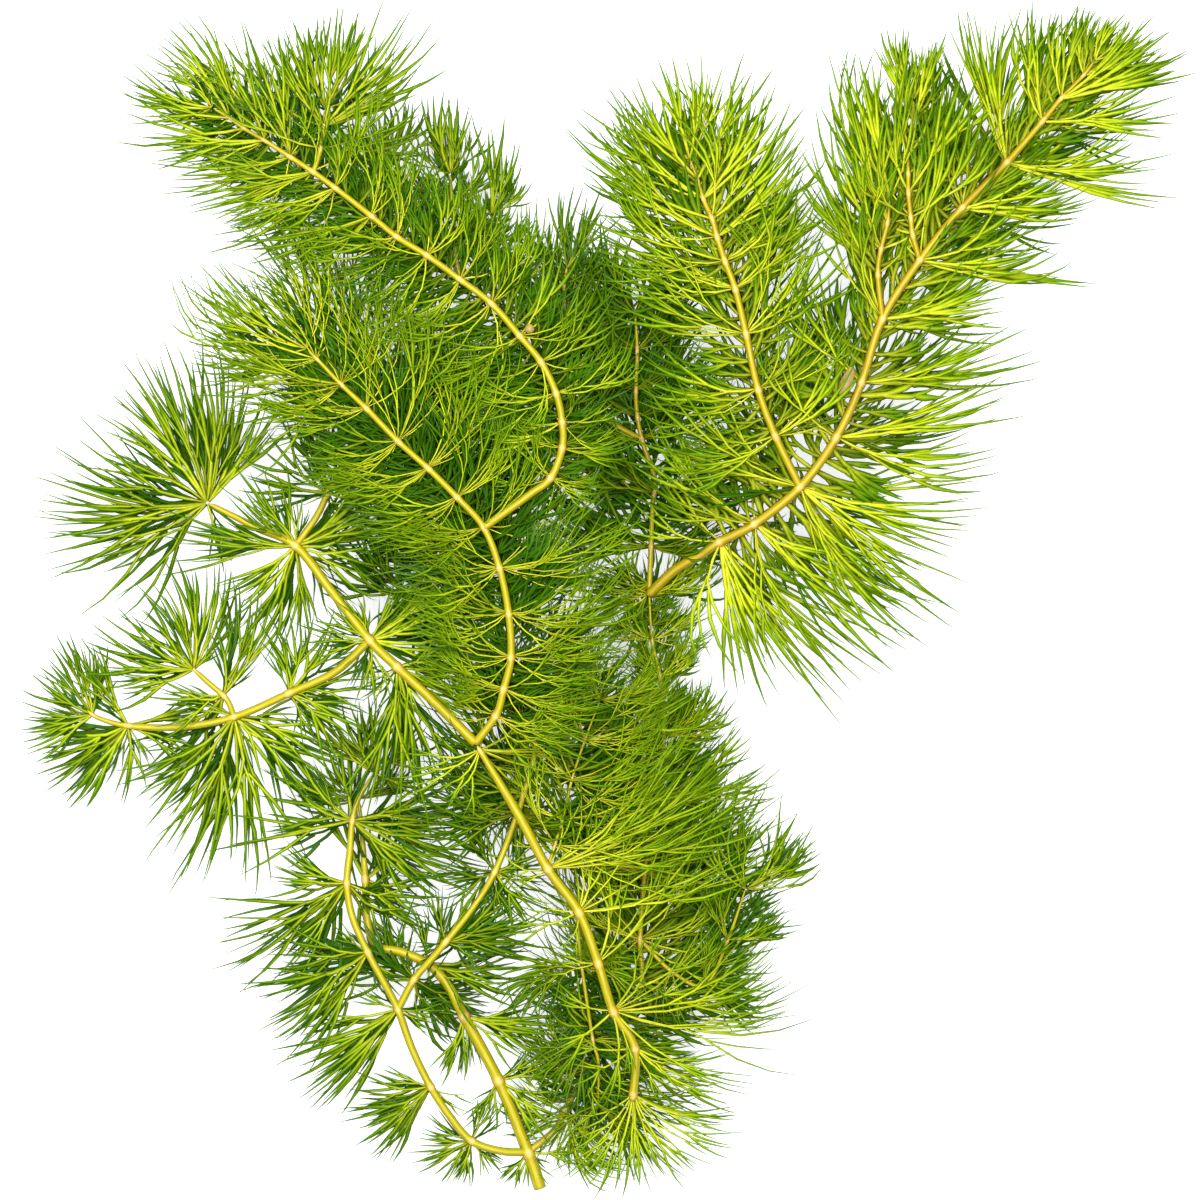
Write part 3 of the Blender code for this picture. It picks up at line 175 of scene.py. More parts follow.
# Leaves whose places show: for each stem and place in its route, for each leaf, (x, y) of the
# middle of its fan of tips and how far, in degrees, the fan opens to either side.
OPEN_WHORLS = {
    "cut_base_stem": {
        1: [(-1.7, -92, 12), (-8, -98, 14), (-16.7, -98, 14), (-13.7, -98.7, 12)],
        2: [(-23, -88, 14), (-20.3, -89, 12), (-6.7, -73.3, 12), (-4.7, -75.3, 12), (-4.2, -87.5, 14),
            (-6.7, -90, 14), (-15, -88.3, 14)],
        3: [(-28, -80.3, 10), (-25.7, -80.7, 10), (-6.7, -73.3, 14), (-8.7, -70, 14), (-21.7, -79.2, 12),
            (-11.7, -77, 14), (-1.7, -71.7, 10)],
        5: [(-10, -61.7, 16), (-12, -58.3, 16), (-16.7, -68.3, 16), (-31.7, -50.8, 12), (-24, -50, 12),
            (-13.3, -65, 14), (-28.7, -66.7, 12)],
        9: [(-28, -37.5, 14), (-31, -36, 12), (-27.3, -49, 18), (-29.3, -55, 16), (-45, -31.7, 12)]},
    "lower_left_branch": {
        2: [(-29.7, -87, 10), (-31.5, -90.5, 10), (-32.2, -94.2, 10), (-27.3, -97.8, 10),
            (-23.7, -98.5, 10), (-16.7, -97.5, 12), (-18.3, -83.3, 10)],
        4: [(-41.7, -81.7, 12), (-42.5, -85, 12), (-42.5, -88, 10), (-41.3, -91.7, 10), (-37.7, -94.5, 6),
            (-38, -78.3, 10), (-20.8, -85, 12)],
        6: [(-50, -71.7, 12), (-54.7, -78, 10), (-51.7, -81.3, 10), (-50, -83.8, 8), (-46.3, -86.3, 6),
            (-26.7, -71.7, 14), (-41.7, -65, 12), (-25, -68.3, 10)],
        8: [(-54.2, -57.3, 12), (-57, -61.3, 14), (-58.3, -67.2, 12), (-57, -70, 12), (-56, -74.3, 10),
            (-51.7, -77.5, 8), (-32.5, -66, 12), (-45, -54.2, 10)],
        10: [(-54.2, -41.3, 12), (-57.5, -46.3, 14), (-65.8, -56, 12), (-66.3, -59.7, 14),
             (-64.7, -64, 10), (-56.3, -65, 12), (-28.7, -50, 18), (-27, -50.8, 16), (-29.3, -56.7, 16),
             (-50, -52.5, 12)],
        12: [(-65.8, -41.7, 12), (-57.5, -33.3, 16), (-56.3, -22.5, 10), (-26.7, -33.3, 16),
             (-42.5, -22, 12), (-28.3, -50, 14), (-50, -29.2, 14), (-21.7, -33.3, 10), (-18.3, -35.8, 10),
             (-16.7, -39.2, 10), (-18.3, -44.7, 10), (-20.8, -47.5, 10), (-25.8, -50, 10)],
        15: [(-51.2, -16.2, 8), (-39.7, -15, 12), (-34.3, -15.3, 14), (-28.3, -18.7, 16),
             (-26.7, -31.7, 18), (-41.7, -16.7, 14), (-50, -20, 12)]},
    "crossing_branch": {
        3: [(-13.3, -55, 18), (-16.7, -60, 18), (-28.3, -46, 14), (-32, -61.3, 10), (-8, -50, 16),
            (-10, -46, 16), (-14, -50, 14), (-9, -57, 14), (-18, -45, 14)],
        5: [(-33, -41.7, 12), (-24, -34.5, 16), (-19.5, -34, 18), (-6.7, -50, 16), (-10, -56, 18),
            (-29, -48, 14), (-13.3, -45, 18), (-20, -50, 14), (-15, -55, 14), (-8, -42, 14)],
        7: [(-28.3, -30, 12), (-25, -25, 14), (-30, -36.7, 12), (-14.2, -48.3, 12), (-20, -25, 12),
            (-13.3, -41.7, 14), (-28.3, -41.7, 12)]},
    "main_stem_lower": {
        0.1: [(25.3, -86.8, 5), (24.7, -91.2, 6), (16.7, -96.7, 10), (20, -94.2, 8), (-1.7, -75.8, 8),
              (-6.7, -89.2, 14), (-6.7, -99.2, 8), (-4.2, -97.5, 8), (0, -99.3, 8), (4.2, -99.3, 8),
              (8.3, -99.3, 8), (11.7, -99, 8), (15, -96, 8), (-7.5, -94.2, 8), (21, -88, 8)],
        1: [(23, -84.2, 6), (21.3, -76.2, 9), (22.5, -80.2, 8), (16.7, -79.2, 14), (13.3, -83.3, 14),
            (-8.3, -71.7, 12), (-6.7, -79.2, 14)],
        2: [(34.3, -71.3, 12), (35.8, -66.8, 6), (26.3, -81, 3), (30.2, -56, 9), (31, -60.3, 9),
            (23.3, -48.3, 10), (15, -53.3, 14), (-0.3, -86.3, 6), (5, -80.8, 8), (-8.7, -64.2, 10),
            (-10, -76.7, 14), (9.2, -55, 14)],
        3: [(6.5, -43.5, 12), (12, -40, 10), (0, -42, 10), (18, -38, 8), (-11.7, -60, 14),
            (-8, -58.3, 10)],
        4: [(35.3, -38, 7), (26.2, -38.3, 10), (20, -33.3, 12), (10, -31.7, 14), (0, -38.3, 14),
            (-13.3, -50, 14), (-16.7, -55, 14), (-6.7, -60, 12), (-0.7, -34, 12), (-5.3, -33, 12)],
        5: [(31.7, -29.7, 5), (27.2, -28.5, 7), (25.3, -22.5, 7), (24.2, -33.3, 9), (25.8, -37.5, 9),
            (20.3, -16.7, 9), (17.5, -21.7, 10), (10, -26.7, 12), (1.7, -28.3, 14), (-5.8, -30, 12),
            (6.7, -36.7, 10), (-15, -46.7, 12), (-20, -41.7, 16)],
        6.9: [(10, -14.7, 8), (15, -15.7, 8), (17.3, -19.3, 8), (18.7, -23.7, 8), (8.3, -26.7, 10),
              (0, -16.7, 12), (-6.7, -15, 12), (-35.3, -30, 8), (-33.3, -26.3, 10), (-28.3, -33.3, 14),
              (-6.7, -30, 10), (-21.7, -14.7, 8), (-25, -36.7, 14), (6.7, -20, 8)]},
    "main_stem_upper": {
        2: [(-18.3, -18.7, 7), (-20.3, -15, 10), (-35.7, -27.5, 12), (-30, -21.7, 14), (-32.5, -24.2, 14),
            (-21.7, -6.7, 14), (-41.7, -16.7, 16), (-35.8, -33.3, 12), (-37.5, -41.7, 12), (-30, -35, 12),
            (-26, -38.3, 14), (-23.3, -12, 8)],
        3: [(-25, 6.7, 8), (-16.7, 1.7, 8), (-18.3, 6.7, 8), (-26, 4, 10), (-16.7, -8, 7),
            (-16.7, -10.7, 7), (-32.5, 3.3, 10), (-51, -3.7, 16), (-50, -7, 14), (-42.5, 1.7, 16),
            (-36.3, -19, 14), (-39, -16.7, 14), (-26.7, 0, 14), (-45, -12.5, 10), (-47, 0, 14),
            (-43, -1, 12)],
        5: [(-74.2, 11.3, 12), (-74.7, 8, 10), (-64.7, -0.7, 8), (-59.7, -3.3, 10), (-53, -11.3, 6),
            (-60.7, -10, 8), (-33, 16.7, 9), (-25.7, 15.3, 4), (-37.5, 20.3, 8), (-33, 9.2, 16),
            (-61.7, 23.3, 10), (-56.3, 21.7, 12), (-51.7, 18.7, 10), (-35.8, 4.2, 18), (-45, 1.7, 16),
            (-60, 16.7, 14)],
        7: [(-95.8, 15.8, 10), (-92.5, 20, 12), (-90, 26.7, 12), (-95, 8.7, 12), (-91.7, 4.2, 14),
            (-85.3, 1.7, 16), (-87.5, 29.2, 10), (-85, 34.2, 9), (-81.3, 39.2, 8), (-76.7, 42.5, 8),
            (-72.3, 44, 9), (-68.7, 42.5, 10), (-64.7, 42.5, 9), (-60.8, 41.3, 9), (-56.3, 38, 9),
            (-52.7, 31.7, 9), (-63, 4.7, 12), (-57.5, 34.2, 10)]},
    "centre_branch": {
        11: [(-70, 44.7, 9), (-68, 42.7, 9), (-56.3, 55, 9)],
        12: [(-70.3, 47.7, 9), (-62.3, 57.3, 9), (-60, 56, 9)],
        13: [(-68, 55.3, 9), (-70.3, 53, 9), (-65.3, 57, 9)]},
    "top_left_branch": {
        12: [(-58.7, 57.7, 8), (-60.8, 59, 8)],
        13: [(-64.2, 61.2, 8), (-66.7, 62, 8)],
        14: [(-70.7, 67.8, 8), (-65.3, 64.3, 8), (-70, 64.5, 8)],
        15: [(-58, 95.3, 8), (-54.7, 93.3, 8), (-75, 72, 8), (-72.3, 69.8, 8)],
        16: [(-63, 96.3, 8), (-57.3, 94.7, 8), (-78.7, 77, 8), (-77, 74.3, 8)],
        17: [(-70.7, 97, 8), (-67.3, 97.5, 8), (-80.3, 80.2, 8)],
        18: [(-80.3, 82.7, 8), (-73.3, 94.5, 8)],
        19: [(-80.2, 88.5, 8), (-80, 85.3, 8), (-77.2, 91.5, 8)]},
    "top_left_twig": {
        2: [(-28, 97.3, 8), (-26.7, 92.7, 8), (-30, 87.7, 8), (-55.7, 95, 8), (-54.2, 96.7, 8),
            (-31.7, 98.8, 8)],
        3: [(-49.5, 97.5, 8), (-46.7, 98, 8), (-43.3, 99.2, 8), (-37.5, 98.3, 8), (-40.8, 97.5, 8),
            (-51.7, 95.8, 8)]},
    "right_outer_twig": {
        6: [(46, 93, 6), (55.3, 93.3, 6)],
        7: [(47.8, 95.5, 6), (50.2, 96, 6), (53.2, 93.3, 6), (57.2, 95.2, 6)]},
    "right_inner_twig": {
        1: [(35.5, 71.2, 6), (35, 66.8, 6)],
        2: [(39, 75, 6), (39.7, 80.3, 6)],
        3: [(39.7, 83.8, 6), (40.3, 88.3, 6)],
        4: [(39.5, 93, 6), (41.8, 94.3, 6), (43.7, 91.7, 6)]},
    "right_branch": {
        3: [(47.7, -12.3, 7), (44.7, -17.7, 7), (35.2, -15.7, 7), (28.8, -12.5, 7), (23.5, -14.7, 7),
            (40.8, -15, 7)],
        4: [(56.2, -4.3, 7), (54.3, -7.7, 7), (50, 2, 7), (46, -2, 7), (40, 4, 7)],
        5: [(66.7, 18.3, 7), (64, 14.7, 7), (61.2, 11, 7), (60, -1.5, 7), (2.2, 28.3, 7), (6.7, 25.8, 7),
            (58, 8, 7), (54, 4, 7), (50, 0, 7)],
        6: [(71.3, 35.3, 7), (66.7, 33.3, 7), (66.3, 37.3, 7)],
        7: [(72.8, 43.8, 7), (72, 39.7, 7)],
        8: [(70.7, 49.7, 7), (68.3, 51.7, 7)],
        9: [(81.8, 52.7, 2)],
        10: [(82.3, 66.7, 7), (80, 68.3, 7)],
        11: [(96.2, 66.5, 3), (96.8, 72.5, 6), (58.8, 99.3, 5), (61, 99.5, 5), (64.2, 99.5, 5),
             (67.3, 99.5, 6)],
        12: [(70, 98.7, 7), (71.7, 99, 7), (96.7, 83, 7), (95.3, 79.7, 7)],
        13: [(99, 89.3, 5), (98.3, 91.5, 5), (95.3, 93.7, 5), (91, 97.5, 6), (82.5, 99.7, 5),
             (79, 99.3, 6)],
        14: [(79.3, 98, 7), (82.3, 98.7, 7), (95.7, 92.7, 7), (93, 96, 7)],
        15: [(87.3, 98, 7), (85, 97.7, 7)]},
    "right_inner_branch": {
        4: [(-2.5, 64.2, 8), (37, 62.2, 8)],
        5: [(-2.8, 69.3, 8), (35.8, 71.7, 8), (35.8, 67.5, 8)],
        6: [(-4, 74.7, 8), (36.3, 75.8, 8), (35.3, 78.3, 8)],
        7: [(-5.3, 78, 8), (34, 82, 8)],
        8: [(-1.3, 82.7, 8), (-3.8, 81, 8), (29.2, 87.5, 8), (31.7, 84.7, 8)],
        9: [(5.3, 87.8, 8), (2.5, 85.3, 8), (26.5, 90.3, 8)],
        10: [(9.8, 90, 8), (14.5, 90.3, 8), (17, 91, 8), (21.8, 91, 8)]},
    "middle_branch": {
        0.2: [(-3, 6, 14), (-4, 0, 14), (-2, -6, 14), (0, -10, 14), (4, -8, 12), (-6, 4, 14), (1, 9, 12),
              (-6, -3, 14)]},
    "left_branch": {
        2: [(-55.3, -5.3, 12), (-50, 0, 18), (-45, -3.3, 18), (-39.7, -21.2, 14), (-41.3, -26.7, 12),
            (-47, -24, 14), (-35, -15, 14), (-45, -16.7, 18), (-52.5, -2.5, 12)],
        3: [(-81.7, -31.7, 14), (-76.7, -39.2, 14), (-72.5, -48.3, 14), (-70, -48, 12),
            (-64.2, -49.2, 12), (-57, -46.7, 12), (-43.8, -34, 14), (-43, -27.7, 12), (-51.7, -30, 18),
            (-71.7, -16.7, 12), (-56.3, -43.3, 10), (-46.7, -20, 16)],
        5: [(-95.7, -29.3, 10), (-93, -33, 10), (-90, -35.2, 8), (-88, -34, 8), (-79.2, -34, 12),
            (-67, -27.7, 14), (-64, -16.5, 8), (-88, -6.7, 14), (-75, -28.3, 14), (-92.5, -25.8, 12),
            (-87, -10, 10)],
        6.4: [(-95.3, -12.7, 12), (-93, -8.7, 12), (-90.3, -5.7, 12), (-85, -7.5, 12), (-97.3, -18.8, 10),
              (-97.8, -21.8, 10), (-96, -25.2, 10), (-88, -6.7, 10)]},
    "left_twig": {
        1.2: [(-58.3, 1.7, 8), (-52.8, 5.8, 6), (-73.3, -15.2, 14), (-76.7, -18.3, 16), (-75, -30, 16),
              (-60, -3.3, 12), (-57.3, -6.7, 10)],
        2.85: [(-85, -2.8, 12), (-87.5, -6.7, 12), (-84.5, -11, 12), (-82.5, -15.3, 12), (-63, 6.7, 5),
               (-67, 7, 8), (-75.3, 4.5, 8), (-79, -1.2, 12), (-70.3, 6.7, 8), (-64.2, -6.7, 10),
               (-75, -6.7, 10)]},
    "left_crossing_twig": {
        2: [(-60, 20.8, 12), (-57.5, 29, 14), (-49.5, 32.5, 14), (-32, 15, 14), (-36.7, 25, 16),
            (-40, 10, 16)]},
    "middle_twig": {
        5.9: [(-6.7, 68.3, 8), (-4.8, 69.2, 8), (0, 68.3, 8), (1.7, 65.8, 8)]},
    "top_hidden_twig_middle": {
        4: [(-27, 85.3, 8), (-25.5, 85.8, 8), (-22.7, 82.8, 8)]},
    "top_hidden_twig_left": {
        3: [(-35.8, 82, 8), (-31.3, 82.8, 8), (-41.7, 80, 8), (-39.2, 81.3, 8)]},
    "top_hidden_twig_right": {
        3: [(-18.7, 81.2, 8), (-14.8, 76.8, 8), (-15.8, 70.3, 8)]},
}

# How each stem is dressed. For every mm of stem: how many leaves of a node's whorl (node),
# of long ones below them, painted pale as if lit through from beneath (fringe), of short ones
# that fill the shoot, painted dark as its shade (core) and of thin threads, painted brighter
# (thread). Then: low, how many leaves lie below each one whose place is given, usually 1; the
# light value, how lit the leaves are painted, 1 for full light and 0 for dark green shade, which
# also carries some of the stem's own leaf tone; shade, how much darker the painted shade of
# inner leaves is, for what is usual; yellow, thick and fan, how yellow and how thick the leaves
# are and how far, in degrees, they fan to either side; lean, the way that they lean, as
# (x, y, z); bow, how much more than usual they bow; late, whether they fork late; and gold, how
# golden brown the stem is.
HABIT = {
    "cut_base_stem": dict(node=1.6, low=0.7, fresh=0.52, yellow=0.20, thick=1.0, fan=15, gold=0.12),
    "lower_left_branch": dict(low=1.5, fresh=0.52, yellow=0.25, thick=1.0, fan=15, gold=0.05),
    "crossing_branch": dict(
        node=2.6, fringe=2.0, low=2, shade=0.45, fresh=0.28, yellow=0.15, thick=0.9, fan=18,
        gold=0.05),
    "bottom_branch": dict(
        node=0.8, fringe=0.5, core=4.8, thread=1.4, fresh=1.0, yellow=0.52, thick=0.78, fan=13,
        lean=(0.14, 0.10, 0), gold=0.2),
    "bush_twig_left": dict(
        node=0.9, core=2.6, thread=2.4, fresh=0.9, yellow=0.8, thick=0.66, fan=14,
        lean=(0.22, 0.12, 0), gold=0.0),
    "bush_twig_right": dict(
        node=1.6, fringe=0.8, core=1.2, fresh=0.75, yellow=0.3, thick=0.95, fan=14, gold=0.0),
    "lower_middle_twig": dict(node=2.2, core=3.2, fresh=0.45, yellow=0.3, thick=0.85, fan=15, gold=0.1),
    "main_stem_lower": dict(
        low=0.2, fresh=0.85, yellow=0.85, thick=0.66, fan=12, lean=(0, 0, 0.10), bow=0.04,
        late=True, gold=0.12),
    "main_stem_upper": dict(low=1.6, fresh=0.6, yellow=0.35, thick=0.95, fan=14, gold=0.15),
    "centre_branch": dict(
        node=1.3, fringe=0.8, core=6.0, thread=1.6, low=0.4, fresh=0.76, yellow=0.55, thick=0.66,
        fan=13, gold=0.1),
    "top_left_branch": dict(
        node=1.1, fringe=0.5, core=5.4, thread=0.7, low=0.3, fresh=0.92, yellow=0.4, thick=0.8,
        fan=12, gold=0.1),
    "top_left_twig": dict(
        node=1.0, fringe=0.6, core=1.6, low=0.3, fresh=0.70, yellow=0.3, thick=1.0, fan=11,
        gold=0.1),
    "right_outer_twig": dict(
        node=1.1, fringe=0.6, core=1.6, low=0.4, shade=0.7, fresh=1.0, yellow=0.8, thick=1.0,
        fan=9, gold=0.4),
    "right_inner_twig": dict(
        node=1.1, fringe=0.5, core=1.5, low=0.4, shade=0.7, fresh=0.96, yellow=0.8, thick=1.0,
        fan=9, gold=0.4),
    "right_branch": dict(
        node=0.8, fringe=0.5, core=2.0, low=0.4, shade=0.7, fresh=1.0, yellow=0.8, thick=1.0,
        fan=10, gold=0.45),
    "right_inner_branch": dict(
        node=1.1, fringe=0.6, core=3.0, thread=0.3, low=0.4, shade=0.7, fresh=0.98, yellow=0.6,
        thick=0.95, fan=11, gold=0.3),
    "left_branch": dict(low=1.2, fresh=0.58, yellow=0.25, thick=1.0, fan=16, gold=0.05),
    "left_twig": dict(low=1.1, fresh=0.6, yellow=0.25, thick=1.0, fan=16, gold=0.05),
    "left_crossing_twig": dict(node=2.4, core=3.2, fresh=0.30, yellow=0.1, thick=0.95, fan=16, gold=0.2),
    "middle_branch": dict(
        node=2.4, fringe=1.0, core=3.2, shade=0.5, fresh=0.25, yellow=0.1, thick=0.95, fan=15,
        gold=0.2),
    "middle_twig": dict(node=2.6, core=3.2, fresh=0.32, yellow=0.1, thick=0.95, fan=14, gold=0.2),
    "under_branch": dict(node=3.4, core=3.4, fresh=0.16, yellow=0.0, thick=1.05, fan=16, gold=0.1),
}
HIDDEN_TWIG = dict(node=1.3, core=1.8, fresh=0.50, yellow=0.2, thick=1.0, fan=11, gold=0.2)
for side in ("middle", "left", "right"):
    HABIT["top_hidden_twig_" + side] = HIDDEN_TWIG

# Stems that show from above along their whole length, so leaves pass under them.
SHOWN_STEMS = ("main_stem_lower", "main_stem_upper", "centre_branch", "top_left_branch", "right_branch",
               "right_inner_branch", "right_outer_twig", "right_inner_twig", "left_branch", "left_twig",
               "lower_left_branch", "cut_base_stem", "crossing_branch", "left_crossing_twig")

# Buds: middle, half their width, half their length, and degrees turned from +Y.
BUDS = {
    "seed_bud": dict(at=(41.0, 36.3, 26.4), across=1.0, along=2.7, turn=-23),
    "shoot_bud": dict(at=(-11.7, 45.1, 30.6), across=0.8, along=0.8, turn=0),
}

UP = np.array((0.0, 0.0, 1.0))
STEM_SKIN, LEAF_SKIN = 0, 1

# The form of the stems.
STEM_SIDES = 12
STEM_STEP = 0.6            # length of stem between two rings of its tube
KNOT_SWELLING = 0.20       # how much thicker a stem is at a node
KNOT_LENGTH = 0.45         # half the length of that swelling
NARROWS_FROM = 0.82        # share of a stem past which it narrows more quickly
BLUNTNESS = 0.6            # share of its thickness left where its end starts to round off
STREAK_LENGTH = 10         # length of stem in one unit of its skin's pattern

# Where leaves grow and how far they reach.
MOST_IN_WHORL = 18
LEAST_IN_WHORL = 4
CORE_STEP = 2.4            # length of stem between two rows of core leaves
FOOT_OUT = 0.3             # how far from the stem's middle a leaf's foot is
BARE_TOP = 30              # degrees either side of straight up that few leaves grow in
FEW = 0.12                 # share of those leaves that grow all the same
TO_THE_SIDES = 0.26        # radians, at most, that leaves turn from up or down to the sides
FLATTENING = 0.74          # whorls are pressed this much flatter than round
OUTERMOST = 99.3           # no leaf reaches further from the middle than this, in x or y
LEAST_HEIGHT = 0.25        # no leaf's middle comes closer to the floor than this
UNDER_GAP = 3.0            # a leaf passes this far below the middle of a stem that shows
WELL_ABOVE = 8.0           # leaves that start this far above such a stem pass over it
MEETING = (0.10, 1.05)     # places along a leaf between which it may meet such a stem

# The form of one leaf.
STALK_RADIUS = 0.24        # of a leaf at its foot
NEEDLE_RADIUS = 0.43       # of a leaf past its forks
WIDENING = (0.34, 0.62)    # places along a leaf between which its stalk widens to a needle
FULL_GROWN = 15.0          # shorter leaves than this are thinner, too
THINNEST = 0.6             # share of its thickness that the shortest leaf keeps
RIDGE = 0.42               # height of a leaf's ridge for its half width
LEAN_BACK = 0.35           # how much of a level fan is turned to the stem's foot
MIDLINE_THINS = 0.45       # share of the midline past which it thins to a point
ARM_THINS = 0.3            # the same share of an arm past a fork
TAPER = 0.9                # power of that thinning, 1 being an even one
WIDER = 1.15               # a fan opens this much wider than the degrees given for it
SHARP = math.radians(100)  # edges that turn more than this are not smoothed over

# How much leaves vary: the usual scatter, or the least and the most.
TURN_SCATTER = 0.12        # radians round the stem
LOW_TURN_SCATTER = 0.22    # the same, of the lower leaves of open whorls
RIDGE_SCATTER = 0.22       # of the way that a leaf's ridge faces
ARCH_SCATTER = 0.03        # share of its length that a leaf arches up or down
LIGHT_SCATTER = 0.10
YELLOW_SCATTER = 0.15
THICKNESS = (0.75, 1.2)
FAN_WIDTH = (0.75, 1.25)
FORK_WIDTH = (0.6, 1.4)
ARM_LENGTH = (0.82, 1.10)
FLOOR_HEIGHT = (1, 5)      # of the arms that lie lowest, in LEAST_HEIGHT
TIP_HEIGHT = (1, 6)        # of the leaf tips that lie lowest, in LEAST_HEIGHT
OPEN_RISE = (-0.20, 0.15)  # how much a leaf of an open whorl rises for its reach
LOW_RISE = (-0.5, -0.15)   # the same, of a lower one
LOW_REACH = (0.60, 0.95)   # reach of a lower leaf for that of the one above it
OPEN_GLOW = 0.10           # how much more lit the leaves of open whorls are painted
LOW_GLOW = (-1.2, -0.1)    # the same, of the lower ones: painted shade, and for the lowest a pale light through from beneath
TOP_GLOW = 0.15            # how much more lit the leaves on top of a shoot are painted, and how much darker those underneath: a painted light from above

# Where along a leaf each of its forks may come: leaves of open whorls, the same on stems
# whose leaves fork late, of dense shoots, threads and short leaves inside a shoot. Then each
# fork's share of the whole fan.
OPEN_FORKS = ((0.16, 0.34), (0.28, 0.50))
LATE_FORKS = ((0.26, 0.48), (0.40, 0.64))
SHOOT_FORKS = ((0.16, 0.34), (0.32, 0.54))
THREAD_FORKS = ((0.16, 0.36), (0.38, 0.56), (0.56, 0.74))
CORE_FORKS = ((0.15, 0.35), (0.35, 0.60))
PARTING = (0.50, 0.30, 0.20)

# Kinds of leaf rows: turns round the stem in degrees, how long the leaves are and how far
# they open for what the stem's table says, how thick they are and how thick their stalks are
# besides, how much more lit they are painted and how much yellower they are, how bowed, how
# much their arms sway up and down, how far below the stem's middle they start, by how many
# degrees their opening varies, and where they fork. Leaves of open whorls need fewer of these,
# because their places are given. The painted light is painted shade for core leaves inside a
# shoot, a pale painted light for fringe leaves, as if lit through from beneath, and more light
# for threads.
ROWS = {
    "node": dict(
        turns=(-90, 270), length=(0.72, 1.06), opening=1.0, thick=1.0, stalk=1.0, glow=0.0, gild=0.0,
        bow=(0.04, 0.18), sway=0.30, depth=0.0, scatter=11, forks=SHOOT_FORKS),
    "open": dict(
        thick=0.95, stalk=1.45, glow=0.0, gild=0.0, bow=(0.0, 0.08), sway=0.35, forks=OPEN_FORKS),
    "fringe": dict(
        turns=(185, 355), length=(0.75, 1.0), opening=1.05, thick=1.0, stalk=1.2, glow=-1.15, gild=0.0,
        bow=(0.0, 0.10), sway=0.15, depth=0.3, scatter=10, forks=SHOOT_FORKS),
    "core": dict(
        turns=(190, 350), length=(0.35, 0.70), opening=0.90, thick=1.45, stalk=1.4, glow=-0.80, gild=0.0,
        bow=(0.0, 0.15), sway=0.15, depth=0.4, scatter=16, forks=CORE_FORKS),
    "thread": dict(
        turns=(-50, 230), length=(0.60, 1.0), opening=1.05, thick=0.68, stalk=1.2, glow=0.3, gild=0.45,
        bow=(0.06, 0.26), sway=0.45, depth=0.0, scatter=20, forks=THREAD_FORKS),
}

# Places of the rings between an arm's fork and its point: on the midline, then on the arms
# of the first, second and third fork.
ARM_RINGS = ((0, 0.12, 0.28, 0.46, 0.66, 0.85, 1), (0, 0.20, 0.44, 0.68, 0.87, 1),
             (0, 0.30, 0.60, 0.85, 1), (0, 0.35, 0.72, 1))

# Colours along a leaf, from its foot at 0 to its points at 1, as the eye sees them, 0 to 255.
# The green and the yellow ramps are of leaves in full light. The dark green ramp is painted
# shade, for leaves deep in a shoot, and the pale one is painted light, for leaves underneath
# lit through from the floor beneath: dark at the foot, pale towards the points. The rib yellow
# is a painted highlight along the crest of lit leaves, which also stands for a paler midrib.
GREEN_LEAF = ((0.0, (210, 206, 44)), (0.34, (142, 184, 8)), (0.62, (94, 142, 2)), (1.0, (80, 120, 14)))
YELLOW_LEAF = ((0.0, (240, 226, 70)), (0.38, (214, 222, 26)), (0.66, (140, 178, 6)),
               (1.0, (106, 144, 12)))
SHADED_LEAF = ((0.0, (66, 104, 0)), (0.30, (52, 92, 0)), (0.70, (70, 118, 4)), (1.0, (98, 138, 26)))
BACKLIT_LEAF = ((0.30, (58, 108, 8)), (0.65, (104, 146, 62)), (0.95, (152, 178, 126)))
RIB_HIGHLIGHT = (238, 238, 66)

# Colours over a tube, from its underside at 0 to its crest at 1. They paint light and shade: a
# leaf's edges and underside are darkened, and on stems and knots the flanks and outline are
# darker and the crest has a painted highlight, over the stem's own yellow or golden brown and
# the knot's own orange.
LEAF_EDGE_SHADE = ((0.34, (96, 132, 30)), (0.50, (204, 220, 130)), (0.68, (255, 255, 255)))
YELLOW_STEM = ((0.54, (106, 110, 0)), (0.72, (190, 184, 4)), (0.84, (190, 184, 4)),
               (0.95, (224, 216, 70)))
GOLDEN_STEM = ((0.54, (112, 74, 0)), (0.72, (190, 142, 4)), (0.84, (190, 142, 4)),
               (0.95, (230, 192, 78)))
ORANGE_KNOT = ((0.45, (106, 110, 0)), (0.68, (222, 150, 14)), (0.92, (250, 226, 140)))

# Colours over the bumps of a noise.
LEAF_PATCHES = ((0.32, (214, 228, 200)), (0.62, (255, 255, 255)))
STEM_STREAKS = ((0.30, (222, 208, 150)), (0.62, (255, 255, 255)))
BUD_PATCHES = ((0.25, (176, 146, 70)), (0.60, (196, 170, 98)), (0.85, (210, 188, 122)))
PATCH_SCALE = 700.0        # patches to a metre

# How much of the painted rib highlight shows, black for none and white for all: over the tube
# and along it.
RIB_HIGHLIGHT_ACROSS = ((0.74, (0, 0, 0)), (0.94, (255, 255, 255)))
RIB_HIGHLIGHT_ALONG = ((0.35, (240, 240, 240)), (0.85, (20, 20, 20)))


def smooth_points(route, places):
    """Catmull-Rom curve through a route, read at an array of places counted in its points."""
    last = len(route) - 1
    padded = np.vstack([2 * route[0] - route[1], route, 2 * route[-1] - route[-2]])
    i = np.clip(places.astype(int), 0, last - 1)
    u = (places - i)[:, None]
    a, b, c, d = (padded[i + k] for k in range(4))
    return 0.5 * (2 * b + (c - a) * u + (2 * a - 5 * b + 4 * c - d) * u ** 2
                  + (3 * b - a - 3 * c + d) * u ** 3)


